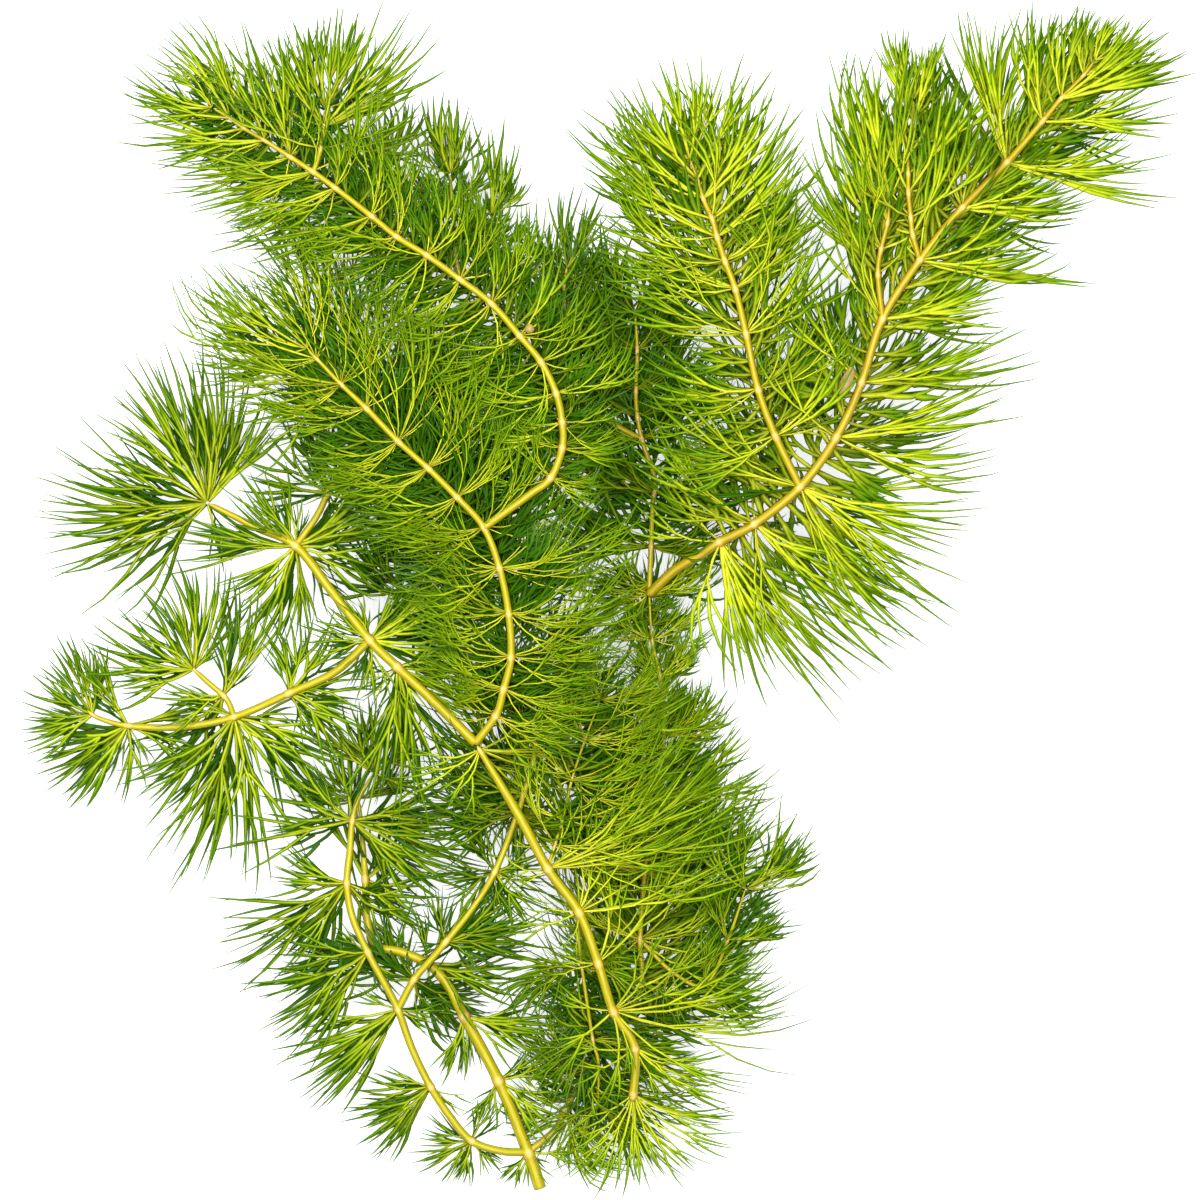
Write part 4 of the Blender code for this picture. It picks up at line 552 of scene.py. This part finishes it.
def unit(vectors):
    """Vectors scaled to length one."""
    return vectors / np.maximum(np.linalg.norm(vectors, axis=-1, keepdims=True), 1e-9)


def directions(route, places):
    """Unit direction of growth at each place, from just before it to just past it."""
    last = len(route) - 1
    beside = 0.05
    return unit(smooth_points(route, np.minimum(places + beside, last))
                - smooth_points(route, np.maximum(places - beside, 0)))


def lengths_along(route):
    """A fine scale of places along a route, and the distance grown at each."""
    fineness = 40
    places = np.linspace(0, len(route) - 1, fineness * len(route))
    steps = np.linalg.norm(np.diff(smooth_points(route, places), axis=0), axis=1)
    return places, np.concatenate([[0], np.cumsum(steps)])


def spread_over(values, shares):
    """A short list of values spread evenly from share 0 to share 1."""
    return np.interp(shares, np.linspace(0, 1, len(values)), values)


def tubes(paths, radii, up, section):
    """Pointed tubes carried along many paths at once.

    A ring at point j of a path is its middle plus radius times (p N + q B) for each
    (p, q) of the section, with N the part of up that is square to the path and
    B = T x N. The last point of a path is the tube's tip, joined by triangles.
    Returns vertices, side faces, tip faces, foot caps, and for the corners of side and
    tip faces their share of a turn round the tube.
    """
    count, points = radii.shape
    rings, sides = points - 1, len(section)
    along = unit(np.gradient(paths, axis=1))
    across = unit(up[:, None, :] - (along * up[:, None, :]).sum(-1, keepdims=True) * along)
    other = np.cross(along, across)
    ring = (section[:, 0, None] * across[:, :rings, None, :]
            + section[:, 1, None] * other[:, :rings, None, :])
    body = paths[:, :rings, None, :] + radii[:, :rings, None, None] * ring
    verts = np.concatenate([body.reshape(count, rings * sides, 3), paths[:, -1:, :]], axis=1)
    each = rings * sides + 1
    tube, step, side = np.meshgrid(np.arange(count), np.arange(rings), np.arange(sides), indexing="ij")
    low = (tube * each + step * sides + side).ravel()
    low_next = (tube * each + step * sides + (side + 1) % sides).ravel()
    banded = (step < rings - 1).ravel()
    quads = np.stack([low, low_next, low_next + sides, low + sides], axis=1)[banded]
    tips = np.stack([low, low_next, (tube * each + each - 1).ravel()], axis=1)[~banded]
    caps = (np.arange(count) * each)[:, None] + np.arange(sides)[::-1]
    here = (side / sides).ravel()
    after = ((side + 1) / sides).ravel()
    quad_turn = np.stack([here, after, after, here], axis=1)[banded]
    tip_turn = np.stack([here, after, (here + after) / 2], axis=1)[~banded]
    return verts.reshape(-1, 3), quads, tips, caps, quad_turn, tip_turn


def round_section(sides):
    """Points of a circle, the first one at the top."""
    turn = 2 * np.pi * np.arange(sides) / sides
    return np.stack([np.cos(turn), np.sin(turn)], axis=1)


def ridged_section():
    """A low triangle: a ridge on top and a flat underside."""
    return round_section(3) * np.array((RIDGE, 1.0))


class Surface:
    """Tubes gathered for one piece, with the values that its materials read."""

    def __init__(self):
        self.verts, self.values, self.loops, self.sizes = [], [], [], []
        self.uvs, self.slots = [], []
        self.total = 0

    def add(self, paths, radii, up, section, slot, along, fresh, tint):
        """Add tubes; along runs from foot to tip, and the second value and tint choose their colours:
        on a leaf the second value is how lit it is painted, on a stem how near a node it is.
        """
        verts, quads, tips, caps, quad_turn, tip_turn = tubes(paths, radii, up, section)
        sides = len(section)

        def on_rings(value):
            """One value a path point, given to every vertex of its ring."""
            body = np.repeat(value[:, :-1], sides, axis=1)
            return np.concatenate([body, value[:, -1:]], axis=1).ravel()

        values = np.stack([on_rings(along), on_rings(fresh), on_rings(tint)], axis=1)
        self.verts.append(verts)
        self.values.append(values)
        for faces, turn in ((quads, quad_turn), (tips, tip_turn), (caps, np.full(caps.shape, 0.5))):
            self.loops.append((faces + self.total).ravel())
            self.uvs.append(np.stack([turn, values[faces, 0]], axis=-1).reshape(-1, 2))
            self.sizes.append(np.full(len(faces), faces.shape[1]))
            self.slots.append(np.full(len(faces), slot))
        self.total += len(verts)

    def make(self, name, materials):
        """One mesh object in metres, its tables written whole."""
        verts = np.concatenate(self.verts) * MM
        values = np.concatenate(self.values)
        loops = np.concatenate(self.loops)
        sizes = np.concatenate(self.sizes)
        mesh = bpy.data.meshes.new(name)
        mesh.vertices.add(len(verts))
        mesh.vertices.foreach_set("co", verts.ravel())
        mesh.loops.add(len(loops))
        mesh.loops.foreach_set("vertex_index", loops)
        mesh.polygons.add(len(sizes))
        mesh.polygons.foreach_set("loop_start", np.concatenate([[0], np.cumsum(sizes)[:-1]]))
        mesh.polygons.foreach_set("material_index", np.concatenate(self.slots))
        mesh.update(calc_edges=True)
        uv = mesh.uv_layers.new(name="UVMap")
        uv.uv.foreach_set("vector", np.concatenate(self.uvs).ravel())
        for k, label in enumerate(("along", "fresh", "tint")):
            layer = mesh.attributes.new(label, "FLOAT", "POINT")
            layer.data.foreach_set("value", np.ascontiguousarray(values[:, k]))
        mesh.shade_smooth()
        mesh.set_sharp_from_angle(angle=SHARP)
        for material in materials:
            mesh.materials.append(material)
        piece = bpy.data.objects.new(name, mesh)
        bpy.context.scene.collection.objects.link(piece)
        return piece


def parted(share):
    """How far two arms have parted, 1.5 s - 0.5 s^2: quickly, then they run almost side by side."""
    return 1.5 * share - 0.5 * share ** 2


def forked_leaves(base, tip, back, leaf, surface, rng):
    """Forked leaves from base to tip, added to a surface.

    In a leaf's own frame X runs from foot to tip, Y is level, on the side of the stem's
    foot and turned a little towards it, and Z is square to both. Its midline is
    (t, bow 4t(1-t), arch 4t(1-t)), and each fork k that an arm has passed adds + or - a
    sway times parted((t - t_k) / (1 - t_k)). An arm that is off the midline by r is drawn
    back by r^2 / 2, so that the tips of a wide fan lie on a circle. The stalk widens to a
    needle, and each arm keeps that width for a while and thins to a point.
    """
    count = len(base)
    chord = tip - base
    length = np.linalg.norm(chord, axis=1)
    x_axis = unit(chord)
    backward = back - (back * x_axis).sum(-1, keepdims=True) * x_axis
    level = np.cross(UP, x_axis)
    level *= np.where((level * back).sum(-1, keepdims=True) < 0, -1, 1)
    y_axis = unit(LEAN_BACK * backward + level)
    y_axis = unit(y_axis - (y_axis * x_axis).sum(-1, keepdims=True) * x_axis)
    axes = np.stack([x_axis, y_axis, np.cross(x_axis, y_axis)], axis=1)
    up = UP + rng.normal(0, RIDGE_SCATTER, (count, 3))
    bow = rng.uniform(*leaf["bow"], count)
    arch = rng.normal(0, ARCH_SCATTER, count)
    floor = rng.uniform(*FLOOR_HEIGHT, count)[:, None, None] * LEAST_HEIGHT
    lowest, highest = np.array(leaf["forks"]).T
    forks = rng.uniform(lowest, highest, (count, len(lowest)))
    spread = np.tan(np.radians(leaf["fan"])) * rng.uniform(*FAN_WIDTH, count)
    sways = []
    parting = np.array(PARTING[:len(lowest)]) / sum(PARTING[:len(lowest)])
    for k, size in enumerate(parting):
        angle = rng.normal(0, leaf["sway"], (count, 2 ** k))
        reach = size * spread[:, None] * rng.uniform(*FORK_WIDTH, (count, 2 ** k))
        sways.append(np.stack([0 * reach, reach * np.cos(angle), reach * np.sin(angle)], axis=-1))

    def points_at(t, signs):
        """Points of arms: t is (leaves, arms, rings), and signs has a row an arm."""
        hump = 4 * t * (1 - t)
        off = np.zeros(t.shape + (3,))
        for k in range(len(lowest)):
            parent = ((signs[:, :k] > 0) * 2 ** np.arange(k)[::-1]).sum(axis=1).astype(int)
            fork = forks[:, k, None, None]
            gone = parted(np.clip((t - fork) / (1 - fork), 0, 1))
            off += (signs[:, k, None] * gone)[..., None] * sways[k][:, parent, None, :]
        drawn = t - 0.5 * (off ** 2).sum(-1)
        line = np.stack([drawn, bow[:, None, None] * hump, arch[:, None, None] * hump], axis=-1)
        return line + off

    stalk = leaf["stalk"] * STALK_RADIUS
    for k, shares in enumerate(ARM_RINGS[:len(lowest) + 1]):
        arms = 2 ** max(k - 1, 0)
        signs = -np.ones((arms, len(lowest)))
        for j in range(k - 1):
            signs[:, j] = np.where((np.arange(arms) >> (k - 2 - j)) & 1, 1, -1)
        start = np.zeros((count, 1, 1))
        if k:
            signs[:, k - 1] = 1
            start = forks[:, k - 1, None, None]
        end = rng.uniform(*ARM_LENGTH, (count, arms, 1))
        share = np.array(shares)
        t = np.broadcast_to(start + (end - start) * share, (count, arms, len(share)))
        places = base[:, None, None, :] + length[:, None, None, None] * np.einsum(
            "nami,nij->namj", points_at(t, signs), axes)
        places[..., 2] = np.maximum(places[..., 2], floor)
        width = np.interp(t, WIDENING, (stalk, max(stalk, NEEDLE_RADIUS)))
        thins = ARM_THINS if k else MIDLINE_THINS
        taper = np.clip((1 - share) / (1 - thins), 0, 1) ** TAPER
        radii = leaf["thick"][:, None, None] * width * taper
        n = count * arms
        tones = [np.broadcast_to(leaf[kind][:, None, None], t.shape).reshape(n, -1)
                 for kind in ("fresh", "tint")]
        surface.add(places.reshape(n, -1, 3), radii.reshape(n, -1), np.repeat(up, arms, axis=0),
                    ridged_section(), LEAF_SKIN, t.reshape(n, -1), *tones)


def shown_runs():
    """Short straight runs of the stems that show."""
    starts, ends = [], []
    fineness = 4
    for name in SHOWN_STEMS:
        route = STEMS[name]["route"]
        line = smooth_points(route, np.linspace(0, len(route) - 1, fineness * len(route)))
        starts.append(line[:-1])
        ends.append(line[1:])
    return np.concatenate(starts), np.concatenate(ends)


def plan_cross(u, v):
    """Cross product of two vectors as seen from above."""
    return u[..., 0] * v[..., 1] - u[..., 1] * v[..., 0]


def pass_under(base, tip):
    """Leaf tips lowered where a leaf would hide a stem that shows.

    The plan of each leaf, base + s (tip - base), is crossed with each run, a + w (b - a).
    Where they meet, the tip drops so that the leaf is UNDER_GAP below the stem there,
    but never more steeply than 45 degrees.
    """
    a, b = shown_runs()
    line = (tip - base)[:, None, :]
    run = (b - a)[None]
    from_base = a[None] - base[:, None, :]
    area = plan_cross(line, run)
    area = np.where(np.abs(area) < 1e-9, 1e-9, area)
    s = plan_cross(from_base, run) / area
    w = plan_cross(from_base, line) / area
    first, last = MEETING
    met = (s > first) & (s < last) & (w >= 0) & (w <= 1)
    foot = base[:, None, 2]
    stem = a[None, :, 2] + w * run[..., 2]
    over = met & (foot + s * line[..., 2] > stem - UNDER_GAP) & (foot < stem + WELL_ABOVE)
    wanted = foot + (stem - UNDER_GAP - foot) / np.maximum(s, first)
    lowest = np.where(over, wanted, np.inf).min(axis=1)
    steepest = base[:, 2] - np.linalg.norm((tip - base)[:, :2], axis=1)
    lowered = tip.copy()
    lowered[:, 2] = np.minimum(tip[:, 2], np.maximum(lowest, steepest))
    return lowered


def grow_leaves(name, middle, along, tip, row, glow, fan, surface, rng):
    """Leaves from points in a stem to their tips, kept off the floor and under shown stems.

    A tip leans by the leaf's length times the lean of its stem.
    """
    habit = HABIT[name]
    lean = np.array(habit.get("lean", (0, 0, 0)))
    tip = tip + np.linalg.norm(tip - middle, axis=1)[:, None] * lean
    tip[:, :2] = np.clip(tip[:, :2], -OUTERMOST, OUTERMOST)
    tip = pass_under(middle, tip)
    tip[:, 2] = np.maximum(tip[:, 2], rng.uniform(*TIP_HEIGHT, len(tip)) * LEAST_HEIGHT)
    base = middle + FOOT_OUT * unit(tip - middle)
    count = len(tip)
    # How lit the leaf is painted: its stem's value, with painted shade or painted light for its kind of
    # row and its place, and a little scatter.
    fresh = habit["fresh"] + row["glow"] * habit.get("shade", 1.0) + glow
    fresh = np.clip(fresh + rng.normal(0, LIGHT_SCATTER, count), -1, 1)
    tint = np.clip(habit["yellow"] + row["gild"] + rng.normal(0, YELLOW_SCATTER, count), 0, 1)
    grown = np.clip(np.linalg.norm(tip - base, axis=1) / FULL_GROWN, THINNEST, 1)
    thick = habit["thick"] * row["thick"] * rng.uniform(*THICKNESS, count) * grown
    leaf = dict(fresh=fresh, tint=tint, thick=thick, fan=fan, sway=row["sway"], stalk=row["stalk"],
                bow=np.array(row["bow"]) + habit.get("bow", 0),
                forks=LATE_FORKS if habit.get("late") else row["forks"])
    forked_leaves(base, tip, -along, leaf, surface, rng)


def whorl_leaves(name, places, shares, counts, kind, surface, rng):
    """Leaves of whorls, evenly spaced between the first and last turn of their kind of row.

    Turn 0 is the right side, 90 degrees the top and 180 the left side. A leaf's tip is
    its middle plus its length times (cos o T + sin o R), with T along the stem, R square
    to it at the leaf's turn and flattened, and o how far the leaf opens.
    """
    stem = STEMS[name]
    row = ROWS[kind]
    route = stem["route"]
    which = np.repeat(np.arange(len(places)), counts)
    steps = np.concatenate([(np.arange(n) + rng.uniform()) / n for n in counts])
    first, last = row["turns"]
    turns = np.radians(first + (last - first) * steps) + rng.normal(0, TURN_SCATTER, len(steps))
    turns = turns - TO_THE_SIDES * np.sin(2 * turns)
    hiding = np.sin(turns) > math.cos(math.radians(BARE_TOP))
    kept = ~hiding | (rng.uniform(size=len(turns)) < FEW)
    which, turns = which[kept], turns[kept]
    middle = smooth_points(route, places)[which]
    along = directions(route, places)[which]
    side = unit(np.cross(along, UP))
    top = np.cross(side, along)
    length = spread_over(stem["leaf"], shares)[which] * rng.uniform(*row["length"], len(which))
    length = length * np.interp(np.cos(turns), (-1, 1), stem.get("sides", (1.0, 1.0)))
    opening = row["opening"] * spread_over(stem["opening"], shares)[which]
    opening = np.radians(opening + rng.normal(0, row["scatter"], len(which)))
    square = np.cos(turns)[:, None] * side + FLATTENING * np.sin(turns)[:, None] * top
    tip = middle + length[:, None] * (np.cos(opening)[:, None] * along
                                      + np.sin(opening)[:, None] * square)
    middle = middle - row["depth"] * top
    fan = np.full(len(which), float(HABIT[name]["fan"]))
    # Painted light from above: leaves on top of the stem are painted more lit, those underneath darker.
    grow_leaves(name, middle, along, tip, row, TOP_GLOW * np.sin(turns), fan, surface, rng)


def open_leaves(name, place, tips, surface, rng):
    """Leaves of a whorl whose places are given, with lower ones between them, painted in shade and the
    lowest pale, as if lit through from beneath.

    A lower leaf is turned a little from one that is given, and reaches less far:
    its tip is the middle plus its reach times (cos a, sin a, 0), then lowered.
    """
    route = STEMS[name]["route"]
    middle = smooth_points(route, np.array([place]))
    along = directions(route, np.array([place]))
    given = np.array(tips, dtype=float)
    ends = np.column_stack([given[:, :2], np.full(len(given), middle[0, 2])])
    out = ends - middle
    reach = np.linalg.norm(out, axis=1)
    turn = np.arctan2(out[:, 1], out[:, 0])
    lows = max(round(len(turn) * HABIT[name].get("low", 1)), 1)
    above = np.resize(rng.permutation(len(turn)), lows)
    low_turn = turn[above] + rng.normal(0, LOW_TURN_SCATTER, lows)
    low_reach = reach[above] * rng.uniform(*LOW_REACH, lows)
    flat = np.stack([np.cos(low_turn), np.sin(low_turn), np.zeros(lows)], axis=1)
    low = middle + low_reach[:, None] * flat
    ends[:, 2] += rng.uniform(*OPEN_RISE, len(turn)) * reach
    low[:, 2] += rng.uniform(*LOW_RISE, lows) * low_reach
    low_glow = rng.uniform(*LOW_GLOW, lows)
    fan = WIDER * given[:, 2]
    for tip, glow, width in ((ends, OPEN_GLOW, fan), (low, low_glow, fan[above])):
        grow_leaves(name, np.broadcast_to(middle, tip.shape), np.broadcast_to(along, tip.shape), tip,
                    ROWS["open"], glow, width, surface, rng)


def grow_stem(stem, habit, surface):
    """A round stem, whose radius tapers evenly and narrows to a point at the tip.

    At a distance d from a node it swells by KNOT_SWELLING times exp(-(d / KNOT_LENGTH)^2).
    """
    route = stem["route"]
    fine, grown = lengths_along(route)
    distance = np.linspace(0, grown[-1], int(grown[-1] / STEM_STEP))
    places = np.interp(distance, grown, fine)
    knots = np.interp(stem["whorls"], fine, grown)
    foot, tip = stem["radius"]
    near = np.abs(distance[:, None] - knots).min(axis=1)
    knot = np.exp(-(near / KNOT_LENGTH) ** 2)
    radius = (foot + (tip - foot) * places / (len(route) - 1)) * (1 + KNOT_SWELLING * knot)
    narrowing = (NARROWS_FROM * grown[-1], grown[-1] - 2 * tip, grown[-1])
    radius = radius * np.interp(distance, narrowing, (1, BLUNTNESS, 0))
    gold = np.full((1, len(places)), float(habit["gold"]))
    surface.add(smooth_points(route, places)[None], radius[None], UP[None], round_section(STEM_SIDES),
                STEM_SKIN, (distance / STREAK_LENGTH)[None], knot[None], gold)


def grow(name, stem, materials):
    """One stem with all its leaves as one piece that stands for its CAD node."""
    rng = np.random.default_rng(sum(map(ord, name)))
    habit = HABIT[name]
    surface = Surface()
    grow_stem(stem, habit, surface)
    fine, grown = lengths_along(stem["route"])
    nodes = np.array(stem["whorls"], dtype=float)
    where = np.interp(nodes, fine, grown)
    spacing = np.gradient(where)
    given = OPEN_WHORLS.get(name, {})
    crowded = isinstance(stem["whorls"], range)
    free = np.array([crowded or place not in given for place in nodes])
    first, last = nodes[0], nodes[-1]

    def dress(kind, places, how_many):
        """Grow one kind of row at some places."""
        shares = (places - first) / (last - first)
        whorl_leaves(name, places, shares, how_many, kind, surface, rng)

    def counts(kind, room):
        """How many leaves of a kind grow on each length of stem."""
        return np.round(habit[kind] * room).astype(int)

    if free.any():
        full = np.clip(counts("node", spacing), LEAST_IN_WHORL, MOST_IN_WHORL)
        dress("node", nodes[free], full[free])
        for kind in ("fringe", "thread"):
            if kind in habit:
                dress(kind, nodes[free], counts(kind, spacing)[free])
    if "core" in habit:
        rows = np.arange(where[0] + CORE_STEP / 2, where[-1], CORE_STEP)
        dress("core", np.interp(rows, grown, fine), counts("core", np.full(len(rows), CORE_STEP)))
    for place, tips in given.items():
        open_leaves(name, place, tips, surface, rng)
    piece = surface.make("leafy_" + name, materials)
    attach(piece, "root")
    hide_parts(name)


def make_bud(name, bud, material):
    """An egg: rings of radius sqrt(1 - u^2) along its long axis, slightly pointed."""
    rings, sides, least, pointed = 25, 16, 0.0004, 0.12
    share = np.linspace(-1, 1, rings)
    turn = math.radians(bud["turn"])
    axis = np.array((-math.sin(turn), math.cos(turn), 0.0))
    path = np.array(bud["at"]) + axis * (share * bud["along"])[:, None]
    radius = bud["across"] * np.sqrt(np.clip(1 - share ** 2, least, 1)) * (1 - pointed * share)
    plain = np.zeros((1, rings))
    surface = Surface()
    only_skin = 0
    surface.add(path[None], radius[None], UP[None], round_section(sides), only_skin,
                ((share + 1) / 2)[None], plain, plain)
    piece = surface.make("smooth_" + name, [material])
    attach(piece, "root")
    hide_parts(name)


def light(colour):
    """A colour as the eye sees it, 0 to 255, turned by the sRGB curve to linear light."""
    share = np.array(colour) / 255
    linear = np.where(share < 0.04045, share / 12.92, ((share + 0.055) / 1.055) ** 2.4)
    return tuple(float(c) for c in linear)


def new_material(name):
    """A new node material, with its tree and its Principled shader."""
    material = bpy.data.materials.new(name)
    material.use_nodes = True
    tree = material.node_tree
    return material, tree, tree.nodes["Principled BSDF"]


def join(tree, source, socket):
    """Lead a node's output, a number or a colour into a socket."""
    if isinstance(source, (int, float)):
        socket.default_value = source
    elif isinstance(source, tuple):
        socket.default_value = (*light(source), 1.0)
    else:
        tree.links.new(source, socket)


def value_of(tree, label):
    """Read one of the piece's own values."""
    node = tree.nodes.new("ShaderNodeAttribute")
    node.attribute_name = label
    return node.outputs["Fac"]


def sum_of(tree, kind, first, second=0.0):
    """Join two numbers by a Math node."""
    node = tree.nodes.new("ShaderNodeMath")
    node.operation = kind
    join(tree, first, node.inputs[0])
    join(tree, second, node.inputs[1])
    return node.outputs[0]


def crest(tree):
    """1 along the top of a tube and 0 along its underside, from the turn in its UV map."""
    place = tree.nodes.new("ShaderNodeUVMap")
    place.uv_map = "UVMap"
    parts = tree.nodes.new("ShaderNodeSeparateXYZ")
    tree.links.new(place.outputs["UV"], parts.inputs[0])
    centred = sum_of(tree, "SUBTRACT", parts.outputs["X"], 0.5)
    return sum_of(tree, "MULTIPLY", sum_of(tree, "ABSOLUTE", centred), 2.0)


def ramp(tree, source, stops):
    """Colours spread along a value."""
    node = tree.nodes.new("ShaderNodeValToRGB")
    elements = node.color_ramp.elements
    while len(elements) < len(stops):
        elements.new(0.5)
    for element, (place, colour) in zip(elements, stops):
        element.position = place
        element.color = (*light(colour), 1.0)
    join(tree, source, node.inputs["Fac"])
    return node.outputs["Color"]


def noise(tree, scale, detail=3.0, stretch=(1, 1, 1), coordinates="Object"):
    """Soft noise on the piece's own coordinates."""
    place = tree.nodes.new("ShaderNodeTexCoord")
    mapping = tree.nodes.new("ShaderNodeMapping")
    mapping.inputs["Scale"].default_value = stretch
    node = tree.nodes.new("ShaderNodeTexNoise")
    node.inputs["Scale"].default_value = scale
    node.inputs["Detail"].default_value = detail
    join(tree, place.outputs[coordinates], mapping.inputs["Vector"])
    join(tree, mapping.outputs["Vector"], node.inputs["Vector"])
    return node.outputs["Fac"]


def mix(tree, share, first, second, blend="MIX"):
    """Mix two colours by a share that is linked or fixed."""
    node = tree.nodes.new("ShaderNodeMix")
    node.data_type = "RGBA"
    node.blend_type = blend
    join(tree, share, node.inputs[0])
    join(tree, first, node.inputs[6])
    join(tree, second, node.inputs[7])
    return node.outputs[2]


def paint(tree, shader, colour, roughness, gloss=0.5):
    """Lead a colour into a shader and set how rough and how glossy it is."""
    join(tree, colour, shader.inputs["Base Color"])
    shader.inputs["Roughness"].default_value = roughness
    shader.inputs["Specular IOR Level"].default_value = gloss


def leaf_material():
    """Leaf skin: yellow at the foot, green along the needles, olive at the points.

    Its light is painted: 1 is a leaf in full light, 0 one in deep green shade, and -1 a pale one
    underneath, lit through from beneath. A lit leaf has a painted yellow highlight on its crest,
    which also stands for a paler midrib, and every leaf's edges and underside are darker, a
    painted shade.
    """
    material, tree, shader = new_material("leaf")
    along = value_of(tree, "along")
    fresh = value_of(tree, "fresh")
    crown = crest(tree)
    bright = mix(tree, value_of(tree, "tint"), ramp(tree, along, GREEN_LEAF),
                 ramp(tree, along, YELLOW_LEAF))
    # Painted light and shade: a lit leaf keeps its colour, one in shade turns deep green, and one
    # underneath turns pale, as if lit through from beneath.
    lit_share = sum_of(tree, "MAXIMUM", fresh)
    colour = mix(tree, lit_share, ramp(tree, along, SHADED_LEAF), bright)
    backlit_share = sum_of(tree, "MAXIMUM", sum_of(tree, "MULTIPLY", fresh, -1.0))
    colour = mix(tree, backlit_share, colour, ramp(tree, along, BACKLIT_LEAF))
    # Painted shade: the edges and underside of every leaf are darkened.
    colour = mix(tree, 1.0, colour, ramp(tree, crown, LEAF_EDGE_SHADE), "MULTIPLY")
    # Painted highlight: a yellow line along the crest of lit leaves, strongest near the foot, which also
    # stands for a paler midrib.
    rib_highlight = mix(tree, 1.0, ramp(tree, crown, RIB_HIGHLIGHT_ACROSS), ramp(tree, along, RIB_HIGHLIGHT_ALONG), "MULTIPLY")
    share = sum_of(tree, "MULTIPLY", rib_highlight, lit_share)
    colour = mix(tree, share, colour, RIB_HIGHLIGHT)
    patches = ramp(tree, noise(tree, PATCH_SCALE), LEAF_PATCHES)
    paint(tree, shader, mix(tree, 1.0, colour, patches, "MULTIPLY"), roughness=0.50, gloss=0.03)
    return material


def stem_material():
    """Stem skin: yellow or golden brown, with a painted highlight along the crest, painted shade on the
    flanks and at the outline, long fine streaks and orange nodes.
    """
    material, tree, shader = new_material("stem")
    crown = crest(tree)
    # Painted light and shade over the stem's own yellow or golden brown: a highlight along the crest,
    # darker flanks and a dark outline.
    colour = mix(tree, value_of(tree, "tint"), ramp(tree, crown, YELLOW_STEM),
                 ramp(tree, crown, GOLDEN_STEM))
    grain = noise(tree, scale=3.0, detail=4.0, stretch=(14, 1.2, 1), coordinates="UV")
    colour = mix(tree, 1.0, colour, ramp(tree, grain, STEM_STREAKS), "MULTIPLY")
    # Orange nodes, with a painted highlight on their crest and painted shade on their underside.
    colour = mix(tree, value_of(tree, "fresh"), colour, ramp(tree, crown, ORANGE_KNOT))
    paint(tree, shader, colour, roughness=0.40, gloss=0.22)
    return material


def bud_material():
    """Cream to orange brown bud skin."""
    material, tree, shader = new_material("bud_skin")
    paint(tree, shader, ramp(tree, noise(tree, PATCH_SCALE), BUD_PATCHES), roughness=0.42)
    return material


def make_floor():
    """A plain pale floor."""
    half = 4.0
    mesh = bpy.data.meshes.new("floor")
    mesh.from_pydata([(-half, -half, 0), (half, -half, 0), (half, half, 0), (-half, half, 0)], [],
                     [(0, 1, 2, 3)])
    floor = bpy.data.objects.new("floor", mesh)
    bpy.context.scene.collection.objects.link(floor)
    material, _, shader = new_material("floor_paper")
    for socket, value in (("Base Color", (0.9, 0.9, 0.9, 1.0)), ("Roughness", 0.9),
                          ("Emission Color", (1.0, 1.0, 1.0, 1.0)), ("Emission Strength", 0.7)):
        shader.inputs[socket].default_value = value
    mesh.materials.append(material)


def make_light():
    """A broad soft light overhead, a weaker one from the upper left, and a pale room."""
    for name, place, size, power in (("overhead", (0.1, 0.15, 1.3), 0.9, 18.0),
                                     ("key", (-0.7, 0.6, 1.0), 0.35, 9.0)):
        panel = bpy.data.lights.new(name, "AREA")
        panel.size = size
        panel.energy = power
        lamp = bpy.data.objects.new(name, panel)
        lamp.location = place
        away = np.array(place) / np.linalg.norm(place)
        lamp.rotation_euler = (math.acos(away[2]), 0.0, math.atan2(away[0], -away[1]))
        bpy.context.scene.collection.objects.link(lamp)
    room = bpy.data.worlds.new("room")
    room.use_nodes = True
    room.node_tree.nodes["Background"].inputs["Color"].default_value = (1.0, 1.0, 1.0, 1.0)
    room.node_tree.nodes["Background"].inputs["Strength"].default_value = 0.25
    bpy.context.scene.world = room
    bpy.context.scene.view_settings.view_transform = "Standard"


def make_camera():
    """Straight down from far away, so that near and far layers keep one scale."""
    focal_length, sensor = 800.0, 36.0
    seen_width = 0.200         # metres across the picture, at the height below
    sharp_height = 0.016
    camera = bpy.data.cameras.new("camera")
    camera.lens = focal_length
    camera.sensor_width = sensor
    camera.clip_end = 20.0
    stand = bpy.data.objects.new("camera", camera)
    stand.location = (0.0, 0.0, sharp_height + seen_width * focal_length / sensor)
    bpy.context.scene.collection.objects.link(stand)
    bpy.context.scene.camera = stand


make_camera()
make_light()
make_floor()
skins = [stem_material(), leaf_material()]
bud_skin = bud_material()
for stem_facts in STEMS.values():
    stem_facts["route"] = np.array(stem_facts["route"], dtype=float)
for stem_name, stem_facts in STEMS.items():
    grow(stem_name, stem_facts, skins)
for bud_name, bud_facts in BUDS.items():
    make_bud(bud_name, bud_facts, bud_skin)
